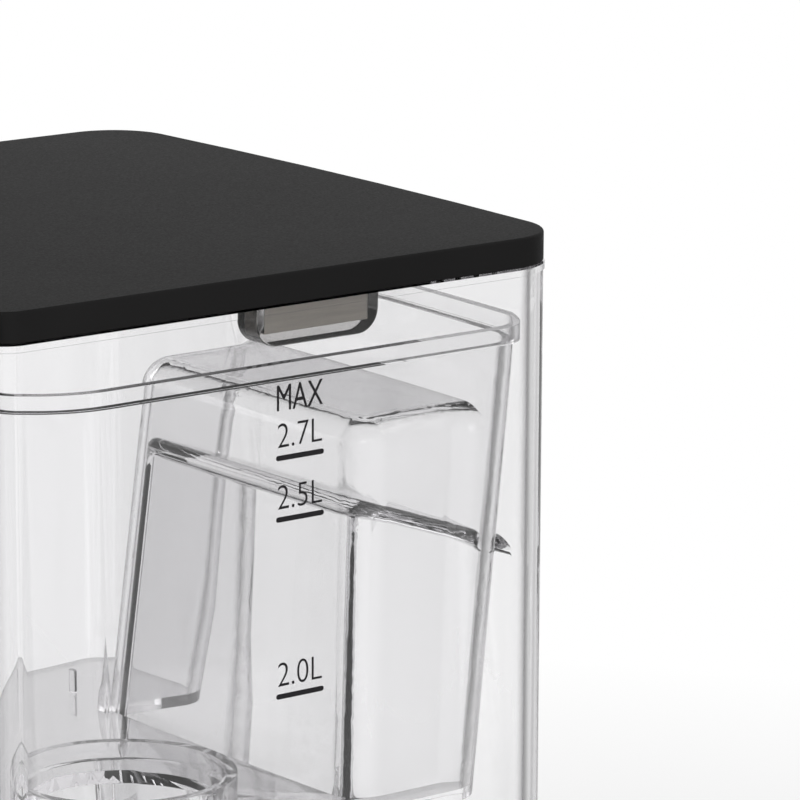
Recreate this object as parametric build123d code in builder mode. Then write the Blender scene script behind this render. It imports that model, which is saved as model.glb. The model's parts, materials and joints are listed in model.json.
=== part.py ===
from build123d import *
import math
import os

# Hot water dispenser, millimetres. Front is -Y, the lift-off water tank is at the rear (+Y),
# +X is the side with the litre scale. The origin is the bottom centre of the whole machine.

os.makedirs("parts", exist_ok=True)

# Driving sizes of the whole machine
machine_depth = 300.0
machine_height = 288.0
machine_width = 140.0
rear_bow = 2.4
knob_reach = 12.0
column_depth = 68.3
head_height = 56.5

# Walls and clearances
wall = 2.5
body_gap = 0.3
slip_gap = 0.1
fit_gap = 0.05
seat_gap = 0.3

# Water tank
tank_depth = 123.0
tank_wall = 2.5
tank_floor = 3.0
tank_bottom = 82.0
tank_rear_radius = 12.7
tank_front_radius = 5.0
tank_lip_height = 1.2
tank_lip_proud = 0.25
lid_height = 5.5
lid_edge_radius = 0.5
lid_hollow = 2.5

# Hand grip recess in the tank's rear wall, and the bulge of the inner reservoir over it
bulge_top = 34.0
bulge_floor = 104.0
bulge_left_top = -20.6
bulge_left_floor = -30.0
bulge_right_top = 50.5
bulge_right_floor = 52.5
bulge_front_top = 34.0
bulge_front_floor = 37.0
bulge_corner = 7.0
bulge_edge = 6.0
bulge_flare = 6.0
grip_ceiling_front = 48.0
grip_ceiling_rear = 60.0
grip_bottom = 130.0
grip_clearance = 0.8
grip_edge = 2.0
grip_inner_edge = 0.8

# Inner reservoir that stands in the tank
reservoir_wall = 2.0
reservoir_rim_inset = 3.4
reservoir_body_inset = 5.1
reservoir_rim_top = 16.6
reservoir_rim_height = 3.2
reservoir_length = 116.6
reservoir_draft = 3.3
reservoir_rear_radius = 11.0
reservoir_front_radius = 21.0
ledge_height = 3.0
ledge_end = 25.0
ledge_rear_end = 50.0
nub_x = -39.5
nub_depth = 34.2
nub_length = 2.4
nub_width = 1.6
nub_height = 4.5

# Filter cartridge and its seat in the reservoir floor
filter_x = 26.8
filter_depth = 70.3
filter_collar_radius = 21.2
filter_collar_height = 6.0
filter_step = 3.0
filter_step_width = 2.0
filter_cup_radius = 17.5
filter_cup_depth = 14.0
filter_lip = 2.0
filter_flange_height = 3.5
filter_body_radius = 14.6
filter_body_height = 44.0
filter_dish = 1.2
filter_dish_rim = 3.0
filter_ribs = 12
filter_groove = 2.4
filter_groove_depth = 0.8
filter_groove_margin = 7.0
filter_tab_length = 16.0
filter_tab_width = 2.0
filter_tab_height = 5.0

# Magnet clips under the lid
clip_length = 26.5
clip_depth = 55.2
clip_drop = 7.8
clip_thickness = 6.0
clip_corner = 4.5
clip_skin = 1.0
magnet_length = 22.5
magnet_drop = 5.5

# Base, column and head
foot_height = 4.0
foot_radius = 8.0
foot_stub_radius = 2.5
foot_chamfer = 0.8
foot_inset_x = 18.0
foot_inset_y = 20.0
plate_thickness = 2.5
base_height = 30.0
front_radius = 12.0
inner_edge_radius = 1.5
deck_thickness = 3.0
bay_floor = 10.0
bay_floor_thickness = 2.0
head_floor = 2.5
rim_thickness = 1.5
rim_drop = 3.5

# Screws
screw_radius = 1.5
screw_head_radius = 3.0
screw_head_height = 1.8
screw_length = 14.0
boss_radius = 5.2
post_radius = 3.0
screw_front_inset = 8.0
screw_middle_inset = 16.0
screw_rear_inset = 24.0
panel_screw_inset = 25.0
panel_screw_relief = 2.0
panel_screw_sink = 1.0

# Control panel
panel_width = 108.0
panel_height = 40.0
panel_drop = 28.5
panel_post_radius = 2.5
panel_post_inset = 6.0
panel_flange = 2.0
panel_flange_thickness = 1.5
display_x = -35.0
display_width = 34.0
display_height = 20.0
display_thickness = 1.5
display_rebate = 2.0
display_module_gap = 1.0
knob_radius = 15.0
knob_skirt = 1.6
knob_skirt_height = 2.0
knob_edge = 1.2
knob_cap = 3.0
knob_grooves = 24
knob_groove_radius = 0.8
knob_groove_start = 2.0
knob_pointer_width = 1.0
knob_pointer_depth = 0.5
knob_pointer_start = 5.0
knob_pointer_end = 12.0
shaft_radius = 3.0
encoder_size = 14.0
encoder_height = 6.5
encoder_floor = 1.0
button_radius = 6.0
button_first_x = 29.0
button_pitch = 16.0
button_proud = 1.5
button_travel = 0.8
button_flange = 1.2
button_flange_thickness = 1.0
button_stem_radius = 2.0
button_edge = 0.6
switch_height = 3.5
switch_size = 6.0
board_thickness = 1.6
board_standoff = 7.0

# Outlet
nozzle_radius = 9.0
nozzle_flange = 13.0
nozzle_drop = 14.0
nozzle_bore = 4.0
nozzle_edge = 1.5
nozzle_flange_thickness = 2.0
tip_height = 8.0
tip_wall = 1.5
tip_taper = 2.0
tip_taper_width = 1.2
tip_plug = 5.0
tip_plug_wall = 1.0
separator_radius = 17.0
separator_height = 31.0
separator_wall = 1.5

# Drip tray
tray_wall = 2.2
tray_gap = 0.6
grille_thickness = 2.0
grille_slot = 3.0
grille_slots = 11
grille_ledge = 2.0
float_radius = 4.0
float_size = 14.0
float_height = 7.5
float_from_front = 16.0
float_corner = 2.0
float_top_edge = 1.0
tray_rear_corner = 2.0
grille_margin = 8.0
grille_front_margin = 24.0
grille_rear_margin = 12.0

# Tank valve and its dock in the deck
dock_x = 0.0
dock_from_front = 35.4
valve_radius = 9.0
valve_flange = 13.0
valve_flange_height = 2.5
valve_bore = 6.5
valve_reach = 10.0
valve_cage = 13.0
valve_seat = 2.0
valve_seat_bore = 4.0
valve_lift = 3.0
poppet_radius = 5.8
poppet_height = 2.0
stem_radius = 1.8
spring_radius = 4.2
spring_wire = 0.8
spring_turns = 5
ring_wire = 1.3
ring_sink = 0.6
cage_window = 4.0
cage_margin = 1.5
stem_end = 1.0
poppet_chamfer = 0.6
stop_gap = 1.0
dock_radius = 14.0
dock_wall = 2.8
dock_flange = 17.0
dock_depth = 13.5

# Water circuit
hose_radius = 3.5
hose_bore = 2.0
hose_bend = 14.0
spigot_length = 10.0
dock_spigot_x = 6.0
pump_from_rear = 42.6
pump_z = 22.0
pump_head_radius = 15.0
pump_head_length = 22.0
motor_radius = 13.5
motor_length = 50.0
motor_tail = 3.0
pump_edge = 1.5
cradle_half = 5.0
cradle_inset = 10.0
cradle_wall = 3.0
heater_x = 38.0
heater_from_front = 36.0
heater_radius = 18.0
heater_bottom = 64.0
heater_length = 126.0
heater_edge = 3.0
strap_thickness = 1.5
strap_height = 14.0
strap_inset = 25.0
strap_foot_half = 6.0
thermostat_radius = 7.0
thermostat_height = 6.0
thermostat_first = 50.0
thermostat_pitch = 26.0
thermostat_sink = 1.0
probe_radius = 2.5
probe_height = 8.0
probe_collar = 3.0

# Electrical parts
inlet_z = 46.0
inlet_width = 27.0
inlet_height = 20.0
inlet_depth = 26.0
inlet_flange = 2.5
inlet_flange_lip = 3.0
inlet_recess = 1.0
socket_width = 24.4
socket_height = 16.4
socket_depth = 16.0
socket_chamfer = 4.5
blade_pitch = 7.0
blade_rise = 2.0
blade_thickness = 2.0
blade_height = 4.0
blade_recess = 3.0
blade_tail = 6.0
main_board_front_gap = 8.5
main_board_rear_gap = 4.8
main_board_top_gap = 46.0
main_board_x = -50.0
main_board_bottom = 50.0
board_post_inset_y = 7.0
board_post_inset_z = 10.0
relay_rows = 3
relay_first = 14.0
relay_gap = 6.0
relay_depth = 18.0
relay_end_gap = 4.0
relay_height = 15.0
relay_inset = 5.0
capacitor_radius = 7.0
capacitor_height = 20.0
capacitor_inset = 12.0
transformer_height = 22.0
transformer_width = 30.0
transformer_length = 28.0
transformer_inset = 12.0
sensor_length = 20.0
sensor_height = 10.0
sensor_depth = 6.0

# Places worked out from the sizes above
half_width = machine_width / 2
rear_apex = machine_depth / 2
tank_rear = rear_apex - rear_bow
tank_front = tank_rear - tank_depth
column_rear = tank_front - body_gap
column_front = column_rear - column_depth
body_front = -machine_depth / 2 + knob_reach
lid_bottom = machine_height - lid_height
tank_top = lid_bottom - seat_gap
deck_top = tank_bottom - seat_gap
head_bottom = lid_bottom - head_height
cup_height = head_bottom - base_height
panel_center_z = lid_bottom - panel_drop
pump_y = tank_rear - pump_from_rear
heater_y = column_front + heater_from_front
main_board_top = head_bottom - main_board_top_gap
panel_back = body_front + wall
tray_split = body_front + front_radius
bay_back = column_front - bay_floor_thickness
dock_y = tank_front + dock_from_front
outlet_y = (column_front + body_front) / 2
knob_front = -machine_depth / 2
reservoir_front = tank_rear - reservoir_rim_inset - reservoir_length
filter_y = tank_rear - filter_depth
reservoir_floor = machine_height - bulge_floor
reservoir_bottom = reservoir_floor - reservoir_wall
rim_top = machine_height - reservoir_rim_top
rim_bottom = rim_top - reservoir_rim_height
dock_bottom = deck_top - dock_depth
dock_floor = dock_bottom + valve_seat
valve_bottom = tank_bottom - valve_reach
valve_top = tank_bottom + tank_floor + valve_flange_height + valve_cage
cage_ceiling = valve_top - valve_seat
poppet_bottom = valve_bottom + valve_seat + seat_gap + valve_lift
poppet_top = poppet_bottom + poppet_height


def block(x_range, y_range, z_range, mode=Mode.ADD):
    """A box between two values on each axis."""
    x0, x1 = x_range
    y0, y1 = y_range
    z0, z1 = z_range
    with Locations(((x0 + x1) / 2, (y0 + y1) / 2, (z0 + z1) / 2)):
        Box(x1 - x0, y1 - y0, z1 - z0, mode=mode)


def rod(x, y, z_range, radius, mode=Mode.ADD):
    """An upright round bar."""
    z0, z1 = z_range
    with Locations((x, y, (z0 + z1) / 2)):
        Cylinder(radius, z1 - z0, mode=mode)


def rod_y(x, z, y_range, radius, mode=Mode.ADD):
    """A round bar that lies along Y."""
    y0, y1 = y_range
    with Locations((x, (y0 + y1) / 2, z)):
        Cylinder(radius, y1 - y0, rotation=(90, 0, 0), mode=mode)


def rod_x(y, z, x_range, radius, mode=Mode.ADD):
    """A round bar that lies along X."""
    x0, x1 = x_range
    with Locations(((x0 + x1) / 2, y, z)):
        Cylinder(radius, x1 - x0, rotation=(0, 90, 0), mode=mode)


def plan(half, front_y, rear_y, front_corner, rear_corner, bow=0.0):
    """A plan outline with rounded corners, its rear edge bowed outwards by bow."""
    with BuildLine() as outline:
        Polyline((-half, rear_y), (-half, front_y), (half, front_y), (half, rear_y))
        if bow:
            ThreePointArc((half, rear_y), (0, rear_y + bow), (-half, rear_y))
        else:
            Line((half, rear_y), (-half, rear_y))
    make_face(outline.edges())
    fillet(vertices().group_by(Axis.Y)[0], front_corner)
    fillet(vertices().group_by(Axis.Y)[-1], rear_corner)


def tank_plan(inset):
    """The tank's plan, drawn in by inset."""
    plan(
        half_width - inset,
        tank_front + inset,
        tank_rear - inset,
        max(tank_front_radius - inset, lid_edge_radius),
        max(tank_rear_radius - inset, lid_edge_radius),
        rear_bow,
    )


def base_plan(inset):
    """The footprint of the whole machine, drawn in by inset."""
    plan(
        half_width - inset,
        body_front + inset,
        tank_rear - inset,
        front_radius - inset,
        tank_rear_radius - inset,
        rear_bow,
    )


def body_plan(front_y, inset):
    """The plan of the column or of the head, drawn in by inset."""
    plan(
        half_width - inset,
        front_y + inset,
        column_rear - inset,
        front_radius - inset,
        inner_edge_radius,
    )


def reservoir_plan(inset, depth):
    """The reservoir's plan at a depth under its rim, where the draft has drawn it in."""
    draw_in = inset + depth * math.tan(math.radians(reservoir_draft))
    plan(
        half_width - draw_in,
        reservoir_front + draw_in - reservoir_rim_inset,
        tank_rear - draw_in,
        reservoir_front_radius - inset + reservoir_rim_inset,
        reservoir_rear_radius - inset + reservoir_rim_inset,
        rear_bow,
    )


def bowed(half, rear_y, x):
    """Where a bowed rear edge lies at x."""
    bow_radius = (half**2 + rear_bow**2) / (2 * rear_bow)
    return rear_y + rear_bow - bow_radius + math.sqrt(bow_radius**2 - x**2)


def bulge_plan(left, right, front, left_rear, right_rear, corner, flare):
    """The bulge's plan: round front corners, and sides that flare out into the rear wall."""
    behind = rear_apex + bulge_corner
    slant = math.sqrt(0.5)
    with BuildLine() as outline:
        Line((left + corner, front), (right - corner, front))
        ThreePointArc(
            (right - corner, front),
            (right - corner + slant * corner, front + corner - slant * corner),
            (right, front + corner),
        )
        Line((right, front + corner), (right, right_rear - flare))
        ThreePointArc(
            (right, right_rear - flare),
            (right + flare - slant * flare, right_rear - flare + slant * flare),
            (right + flare, right_rear),
        )
        Polyline(
            (right + flare, right_rear),
            (right + flare, behind),
            (left - flare, behind),
            (left - flare, left_rear),
        )
        ThreePointArc(
            (left - flare, left_rear),
            (left - flare + slant * flare, left_rear - flare + slant * flare),
            (left, left_rear - flare),
        )
        Line((left, left_rear - flare), (left, front + corner))
        ThreePointArc(
            (left, front + corner),
            (left + corner - slant * corner, front + corner - slant * corner),
            (left + corner, front),
        )
    make_face(outline.edges())


def reservoir_rear(x, depth, inset):
    """Where the reservoir's rear wall, drawn in by inset, lies at x and a depth below the lid."""
    draft = (depth - reservoir_rim_top - reservoir_rim_height) * math.tan(
        math.radians(reservoir_draft)
    )
    draw_in = reservoir_body_inset + inset + draft
    return bowed(half_width - draw_in, tank_rear - draw_in, x)


def tank_wall_rear(x, depth, inset):
    """Where the tank's rear wall, drawn in by inset, lies at x."""
    return bowed(half_width - inset, tank_rear - inset, x)


def bulge_block(top_depth, bottom_depth, inset, rear_of, rear_inset):
    """The tapered block of the bulge between two depths under the lid top, drawn in by inset."""
    with BuildPart() as bulge:
        for depth in (bottom_depth, top_depth):
            share = (depth - bulge_top) / (bulge_floor - bulge_top)
            left = bulge_left_top + share * (bulge_left_floor - bulge_left_top) + inset
            right = bulge_right_top + share * (bulge_right_floor - bulge_right_top) - inset
            lean = share * (bulge_front_floor - bulge_front_top)
            front = tank_rear - bulge_front_top - lean + inset
            flare = bulge_flare + inset
            with BuildSketch(Plane.XY.offset(machine_height - depth)):
                bulge_plan(
                    left,
                    right,
                    front,
                    rear_of(left - flare, depth, rear_inset) + slip_gap,
                    rear_of(right + flare, depth, rear_inset) + slip_gap,
                    max(bulge_corner - inset, 1),
                    flare,
                )
        loft()
    return bulge.part


def ring_of_screws(places, top, length):
    """Pan head screws that point up, heads below the level top."""
    for x, y in places:
        rod(x, y, (top, top + length), screw_radius)
        rod(x, y, (top - screw_head_height, top), screw_head_radius)


def hose(*points):
    """A hose along straight runs joined by arcs."""
    with BuildPart() as tube:
        with BuildLine() as route:
            FilletPolyline(*points, radius=hose_bend)
        with BuildSketch(Plane(route.line @ 0, z_dir=route.line % 0)):
            Circle(hose_radius)
            Circle(hose_bore, mode=Mode.SUBTRACT)
        sweep()
    return tube.part


def save(part, name):
    """Label a finished piece and write it."""
    part.label = name
    export_step(part, f"parts/{name}.step")


screw_places = [
    (side * (half_width - wall - boss_radius + 1), y)
    for side in (-1, 1)
    for y in (
        column_front + screw_front_inset,
        tank_front + screw_middle_inset,
        tank_rear - screw_rear_inset,
    )
]
foot_places = [
    (side * (half_width - foot_inset_x), y)
    for side in (-1, 1)
    for y in (body_front + foot_inset_y, tank_rear - foot_inset_y)
]

# Base plate, closed from below, with holes for the feet and the screws
with BuildPart() as base_plate:
    with BuildSketch(Plane.XY.offset(foot_height)):
        base_plan(wall + slip_gap)
    extrude(amount=plate_thickness)
    for x, y in foot_places:
        rod(x, y, (0, base_height), foot_stub_radius + fit_gap, Mode.SUBTRACT)
    for x, y in screw_places:
        rod(x, y, (0, base_height), screw_radius + slip_gap, Mode.SUBTRACT)
save(base_plate.part, "base_plate")

# Rubber feet, each with a stub through the base plate
with BuildPart() as feet:
    for x, y in foot_places:
        rod(x, y, (0, foot_height), foot_radius)
        rod(x, y, (foot_height, foot_height + plate_thickness), foot_stub_radius)
    chamfer(edges().group_by(Axis.Z)[0], foot_chamfer)
save(feet.part, "feet")

# Screws that hold the base plate
with BuildPart() as base_screws:
    ring_of_screws(screw_places, foot_height, screw_length)
save(base_screws.part, "base_screws")

# Base housing: the low front with the tray bay, and the raised box whose deck carries the tank
with BuildPart() as base_housing:
    with BuildSketch(Plane.XY.offset(foot_height)):
        base_plan(0)
    extrude(amount=base_height - foot_height)
    with BuildSketch(Plane.XY.offset(base_height)):
        tank_plan(0)
    extrude(amount=deck_top - base_height)
    with BuildSketch(Plane.XY.offset(foot_height)):
        base_plan(wall)
    extrude(amount=bay_floor - bay_floor_thickness - foot_height, mode=Mode.SUBTRACT)
    with BuildSketch(Plane.XY.offset(bay_floor - bay_floor_thickness)):
        base_plan(wall)
        with Locations((0, column_front - machine_depth / 2)):
            Rectangle(machine_width, machine_depth, mode=Mode.SUBTRACT)
    extrude(amount=base_height - wall - bay_floor + bay_floor_thickness, mode=Mode.SUBTRACT)
    with BuildSketch(Plane.XY.offset(bay_floor)):
        tank_plan(wall)
    extrude(amount=deck_top - deck_thickness - bay_floor, mode=Mode.SUBTRACT)
    bay_half = half_width - wall
    above = base_height + 1
    block((-bay_half, bay_half), (body_front, bay_back), (bay_floor, above), Mode.SUBTRACT)
    block((-half_width, half_width), (body_front, tray_split), (bay_floor, above), Mode.SUBTRACT)
    passage_half = half_width - 3 * boss_radius
    passage = (column_front + 2 * boss_radius, column_rear - boss_radius)
    block((-passage_half, passage_half), passage, (bay_floor, above), Mode.SUBTRACT)
    rod(dock_x, dock_y, (base_height, deck_top), dock_radius + slip_gap, Mode.SUBTRACT)
    flange_seat = deck_top - dock_wall
    rod(dock_x, dock_y, (flange_seat, deck_top), dock_flange + slip_gap, Mode.SUBTRACT)
    inlet_hole = inlet_height / 2 + slip_gap
    block(
        (-inlet_width / 2 - slip_gap, inlet_width / 2 + slip_gap),
        (tank_rear - 3 * wall, rear_apex),
        (inlet_z - inlet_hole, inlet_z + inlet_hole),
        Mode.SUBTRACT,
    )
    for x, y in screw_places:
        rod(x, y, (foot_height + plate_thickness, base_height - wall), boss_radius)
        screw_end = foot_height + screw_length + 1
        rod(x, y, (foot_height, screw_end), screw_radius + fit_gap, Mode.SUBTRACT)
save(base_housing.part, "base_housing")

# Column shell: three walls, open to the rear where the rear panel closes it
panel_front = column_rear - wall
board_y = (column_front + wall + main_board_front_gap, panel_front - main_board_rear_gap)
board_z = (main_board_bottom, main_board_top)
board_posts = [
    (y, z)
    for y in (board_y[0] + board_post_inset_y, board_y[1] - board_post_inset_y)
    for z in (board_z[0] + board_post_inset_z, board_z[1] - board_post_inset_z)
]
panel_half = half_width - wall - slip_gap
panel_screws = [
    (side * (half_width - wall - boss_radius + 1), z)
    for side in (-1, 1)
    for z in (base_height + panel_screw_inset, head_bottom - panel_screw_inset)
]
with BuildPart() as column_shell:
    with BuildSketch(Plane.XY.offset(base_height)):
        body_plan(column_front, 0)
    extrude(amount=cup_height)
    with BuildSketch(Plane.XY.offset(base_height)):
        body_plan(column_front, wall)
    extrude(amount=cup_height, mode=Mode.SUBTRACT)
    opening_half = half_width - wall
    block(
        (-opening_half, opening_half),
        (panel_front - inner_edge_radius, column_rear),
        (base_height, head_bottom),
        Mode.SUBTRACT,
    )
    for y, z in board_posts:
        rod_x(y, z, (-half_width + wall / 2, main_board_x), post_radius)
    boss_span = (panel_front - screw_length, panel_front)
    for x, z in panel_screws:
        rod_y(x, z, boss_span, boss_radius)
        rod_y(x, z, boss_span, screw_radius + fit_gap, Mode.SUBTRACT)
save(column_shell.part, "column_shell")

# Rear panel between the column's side walls, in front of the tank
with BuildPart() as rear_panel:
    block((-panel_half, panel_half), (panel_front, column_rear), (base_height, lid_bottom))
    for x, z in panel_screws:
        rod_y(x, z, (panel_front, column_rear), screw_radius + slip_gap, Mode.SUBTRACT)
        head_span = (column_rear - panel_screw_sink, column_rear)
        rod_y(x, z, head_span, screw_head_radius + slip_gap, Mode.SUBTRACT)
save(rear_panel.part, "rear_panel")

# Screws of the rear panel, their flat heads level with it
with BuildPart() as rear_panel_screws:
    for x, z in panel_screws:
        tip = panel_front - screw_length + panel_screw_relief
        rod_y(x, z, (tip, head_span[0]), screw_radius)
        rod_y(x, z, head_span, screw_head_radius)
save(rear_panel_screws.part, "rear_panel_screws")

# Head shell: the tub that reaches forward over the cup
with BuildPart() as head_shell:
    with BuildSketch(Plane.XY.offset(head_bottom)):
        body_plan(body_front, 0)
    extrude(amount=lid_bottom - head_bottom)
    with BuildSketch(Plane.XY.offset(head_bottom + head_floor)):
        body_plan(body_front, wall)
    extrude(amount=lid_bottom - head_bottom - head_floor, mode=Mode.SUBTRACT)
    block(
        (-opening_half, opening_half),
        (panel_front - inner_edge_radius, column_rear),
        (head_bottom, lid_bottom),
        Mode.SUBTRACT,
    )
    block((-passage_half, passage_half), passage, (head_bottom, panel_center_z), Mode.SUBTRACT)
    rod(0, outlet_y, (head_bottom, head_bottom + head_floor), nozzle_radius + slip_gap, Mode.SUBTRACT)
    block(
        (-panel_width / 2, panel_width / 2),
        (body_front, panel_back),
        (panel_center_z - panel_height / 2, panel_center_z + panel_height / 2),
        Mode.SUBTRACT,
    )
    fillet(edges().filter_by(GeomType.LINE).group_by(Axis.Z)[0].group_by(Axis.Y)[0], 1.0)
save(head_shell.part, "head_shell")

# Top cover of the head, level with the tank's lid
with BuildPart() as top_cover:
    with BuildSketch(Plane.XY.offset(lid_bottom)):
        body_plan(body_front, 0)
    extrude(amount=lid_height)
    fillet(faces().sort_by(Axis.Z)[-1].edges(), lid_edge_radius)
    with BuildSketch(Plane.XY.offset(lid_bottom)):
        body_plan(body_front, wall + rim_thickness)
    extrude(amount=lid_hollow, mode=Mode.SUBTRACT)
    with BuildSketch(Plane.XY.offset(lid_bottom - rim_drop)):
        body_plan(body_front, wall + slip_gap)
    extrude(amount=rim_drop + lid_hollow)
    with BuildSketch(Plane.XY.offset(lid_bottom - rim_drop)):
        body_plan(body_front, wall + slip_gap + rim_thickness)
    extrude(amount=rim_drop + lid_hollow, mode=Mode.SUBTRACT)
    block(
        (-opening_half, opening_half),
        (panel_front - rim_thickness - slip_gap, column_rear),
        (lid_bottom - rim_drop, lid_bottom),
        Mode.SUBTRACT,
    )
save(top_cover.part, "top_cover")

# Control panel: a plate in the head's window with a flange behind it and posts for its board
board_front = panel_back + panel_flange_thickness + board_standoff
button_xs = [button_first_x, button_first_x + button_pitch]
panel_post_xs = [side * (panel_width / 2 - panel_post_inset) for side in (-1, 1)]
panel_post_zs = [
    panel_center_z + side * (panel_height / 2 - panel_post_inset) for side in (-1, 1)
]
light_half = display_width / 2 - display_rebate
light_rise = display_height / 2 - display_rebate
with BuildPart() as control_panel:
    block(
        (-panel_width / 2 + slip_gap, panel_width / 2 - slip_gap),
        (body_front, panel_back),
        (panel_center_z - panel_height / 2 + slip_gap, panel_center_z + panel_height / 2 - slip_gap),
    )
    block(
        (-panel_width / 2 - panel_flange, panel_width / 2 + panel_flange),
        (panel_back, panel_back + panel_flange_thickness),
        (
            panel_center_z - panel_height / 2 - panel_flange,
            panel_center_z + panel_height / 2 + panel_flange,
        ),
    )
    block(
        (display_x - display_width / 2 - slip_gap, display_x + display_width / 2 + slip_gap),
        (body_front, body_front + display_thickness),
        (
            panel_center_z - display_height / 2 - slip_gap,
            panel_center_z + display_height / 2 + slip_gap,
        ),
        Mode.SUBTRACT,
    )
    block(
        (display_x - light_half, display_x + light_half),
        (body_front, panel_back + panel_flange_thickness),
        (panel_center_z - light_rise, panel_center_z + light_rise),
        Mode.SUBTRACT,
    )
    through = (body_front, panel_back + panel_flange_thickness)
    rod_y(0, panel_center_z, through, shaft_radius + slip_gap, Mode.SUBTRACT)
    for x in button_xs:
        rod_y(x, panel_center_z, through, button_radius + slip_gap, Mode.SUBTRACT)
    for x in panel_post_xs:
        for z in panel_post_zs:
            rod_y(x, z, (panel_back + panel_flange_thickness, board_front), panel_post_radius)
save(control_panel.part, "control_panel")

# Window of the display, glued into the panel's rebate
with BuildPart() as display_window:
    block(
        (display_x - display_width / 2, display_x + display_width / 2),
        (body_front, body_front + display_thickness),
        (panel_center_z - display_height / 2, panel_center_z + display_height / 2),
    )
save(display_window.part, "display_window")

# Board behind the panel
with BuildPart() as control_board:
    board_rear = board_front + board_thickness
    block(
        (-panel_width / 2, panel_width / 2),
        (board_front, board_rear),
        (panel_center_z - panel_height / 2, panel_center_z + panel_height / 2),
    )
save(control_board.part, "control_board")

# Display module on the board, behind the window
with BuildPart() as display_module:
    block(
        (display_x - display_width / 2, display_x + display_width / 2),
        (board_front - board_standoff + display_module_gap, board_front),
        (panel_center_z - display_height / 2, panel_center_z + display_height / 2),
    )
save(display_module.part, "display_module")

# Rotary encoder on the board, with a bore for its shaft
with BuildPart() as encoder:
    half = encoder_size / 2
    block((-half, half), (board_front - encoder_height, board_front),
          (panel_center_z - half, panel_center_z + half))
    encoder_bore = (board_front - encoder_height, board_front - encoder_floor)
    rod_y(0, panel_center_z, encoder_bore, shaft_radius + fit_gap, Mode.SUBTRACT)
save(encoder.part, "encoder")

# Shaft of the encoder, turned by the knob
with BuildPart() as encoder_shaft:
    shaft_span = (knob_front + knob_cap, encoder_bore[1] - seat_gap)
    rod_y(0, panel_center_z, shaft_span, shaft_radius)
save(encoder_shaft.part, "encoder_shaft")

# Selector knob: a cap with a grip, a skirt and a blind bore for the shaft
with BuildPart() as selector_knob:
    knob_back = body_front - body_gap
    skirt_front = knob_back - knob_skirt_height
    grip_radius = knob_radius - knob_skirt
    rod_y(0, panel_center_z, (knob_front, knob_back), grip_radius)
    rod_y(0, panel_center_z, (skirt_front, knob_back), knob_radius)
    fillet(faces().sort_by(Axis.Y)[0].edges(), knob_edge)
    rod_y(0, panel_center_z, (knob_front + knob_cap, knob_back), shaft_radius, Mode.SUBTRACT)
    for turn in range(knob_grooves):
        angle = 2 * math.pi * turn / knob_grooves
        x = grip_radius * math.cos(angle)
        z = panel_center_z + grip_radius * math.sin(angle)
        groove = (knob_front + knob_groove_start, skirt_front)
        rod_y(x, z, groove, knob_groove_radius, Mode.SUBTRACT)
    block(
        (-knob_pointer_width / 2, knob_pointer_width / 2),
        (knob_front, knob_front + knob_pointer_depth),
        (panel_center_z + knob_pointer_start, panel_center_z + knob_pointer_end),
        Mode.SUBTRACT,
    )
save(selector_knob.part, "selector_knob")

# Push buttons with a retaining flange and a stem that reaches its switch
for name, x in zip(("dispense_button", "lock_button"), button_xs):
    with BuildPart() as button:
        flange_front = panel_back + panel_flange_thickness + slip_gap
        rod_y(x, panel_center_z, (body_front - button_proud, flange_front), button_radius)
        flange_span = (flange_front, flange_front + button_flange_thickness)
        rod_y(x, panel_center_z, flange_span, button_radius + button_flange)
        switch_front = board_front - switch_height
        stem_span = (flange_front, switch_front - button_travel - slip_gap)
        rod_y(x, panel_center_z, stem_span, button_stem_radius)
        fillet(faces().sort_by(Axis.Y)[0].edges(), button_edge)
    save(button.part, name)

# Switches on the board, one behind each button
with BuildPart() as button_switches:
    half = switch_size / 2
    for x in button_xs:
        block((x - half, x + half), (switch_front, board_front),
              (panel_center_z - half, panel_center_z + half))
save(button_switches.part, "button_switches")

# Outlet nozzle through the floor of the head
head_floor_top = head_bottom + head_floor
separator_bottom = head_floor_top + nozzle_flange_thickness
with BuildPart() as outlet_nozzle:
    nozzle_bottom = head_bottom - nozzle_drop
    rod(0, outlet_y, (nozzle_bottom, head_floor_top), nozzle_radius)
    fillet(faces().sort_by(Axis.Z)[0].edges(), nozzle_edge)
    rod(0, outlet_y, (head_floor_top, separator_bottom), nozzle_flange)
    rod(0, outlet_y, (nozzle_bottom, separator_bottom), nozzle_bore, Mode.SUBTRACT)
save(outlet_nozzle.part, "outlet_nozzle")

# Soft tip pressed up into the nozzle
with BuildPart() as nozzle_tip:
    tip_bottom = nozzle_bottom - tip_height
    tip_top = nozzle_bottom + tip_plug
    rod(0, outlet_y, (tip_bottom, nozzle_bottom), nozzle_radius - tip_wall)
    chamfer(faces().sort_by(Axis.Z)[0].edges(), tip_taper, tip_taper_width)
    rod(0, outlet_y, (nozzle_bottom, tip_top), nozzle_bore - fit_gap)
    rod(0, outlet_y, (tip_bottom, tip_top), nozzle_bore - tip_plug_wall, Mode.SUBTRACT)
save(nozzle_tip.part, "nozzle_tip")

# Steam separator pot that stands on the nozzle
separator_inlet_z = separator_bottom + separator_height / 2
with BuildPart() as steam_separator:
    rod(0, outlet_y, (separator_bottom, separator_bottom + separator_height), separator_radius)
    spigot_end = outlet_y + separator_radius + spigot_length
    rod_y(0, separator_inlet_z, (outlet_y, spigot_end), hose_radius)
    rod(
        0,
        outlet_y,
        (separator_bottom + separator_wall, separator_bottom + separator_height - separator_wall),
        separator_radius - separator_wall,
        Mode.SUBTRACT,
    )
    rod(0, outlet_y, (separator_bottom, separator_inlet_z), nozzle_bore, Mode.SUBTRACT)
    rod_y(0, separator_inlet_z, (outlet_y, spigot_end), hose_bore, Mode.SUBTRACT)
save(steam_separator.part, "steam_separator")

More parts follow.
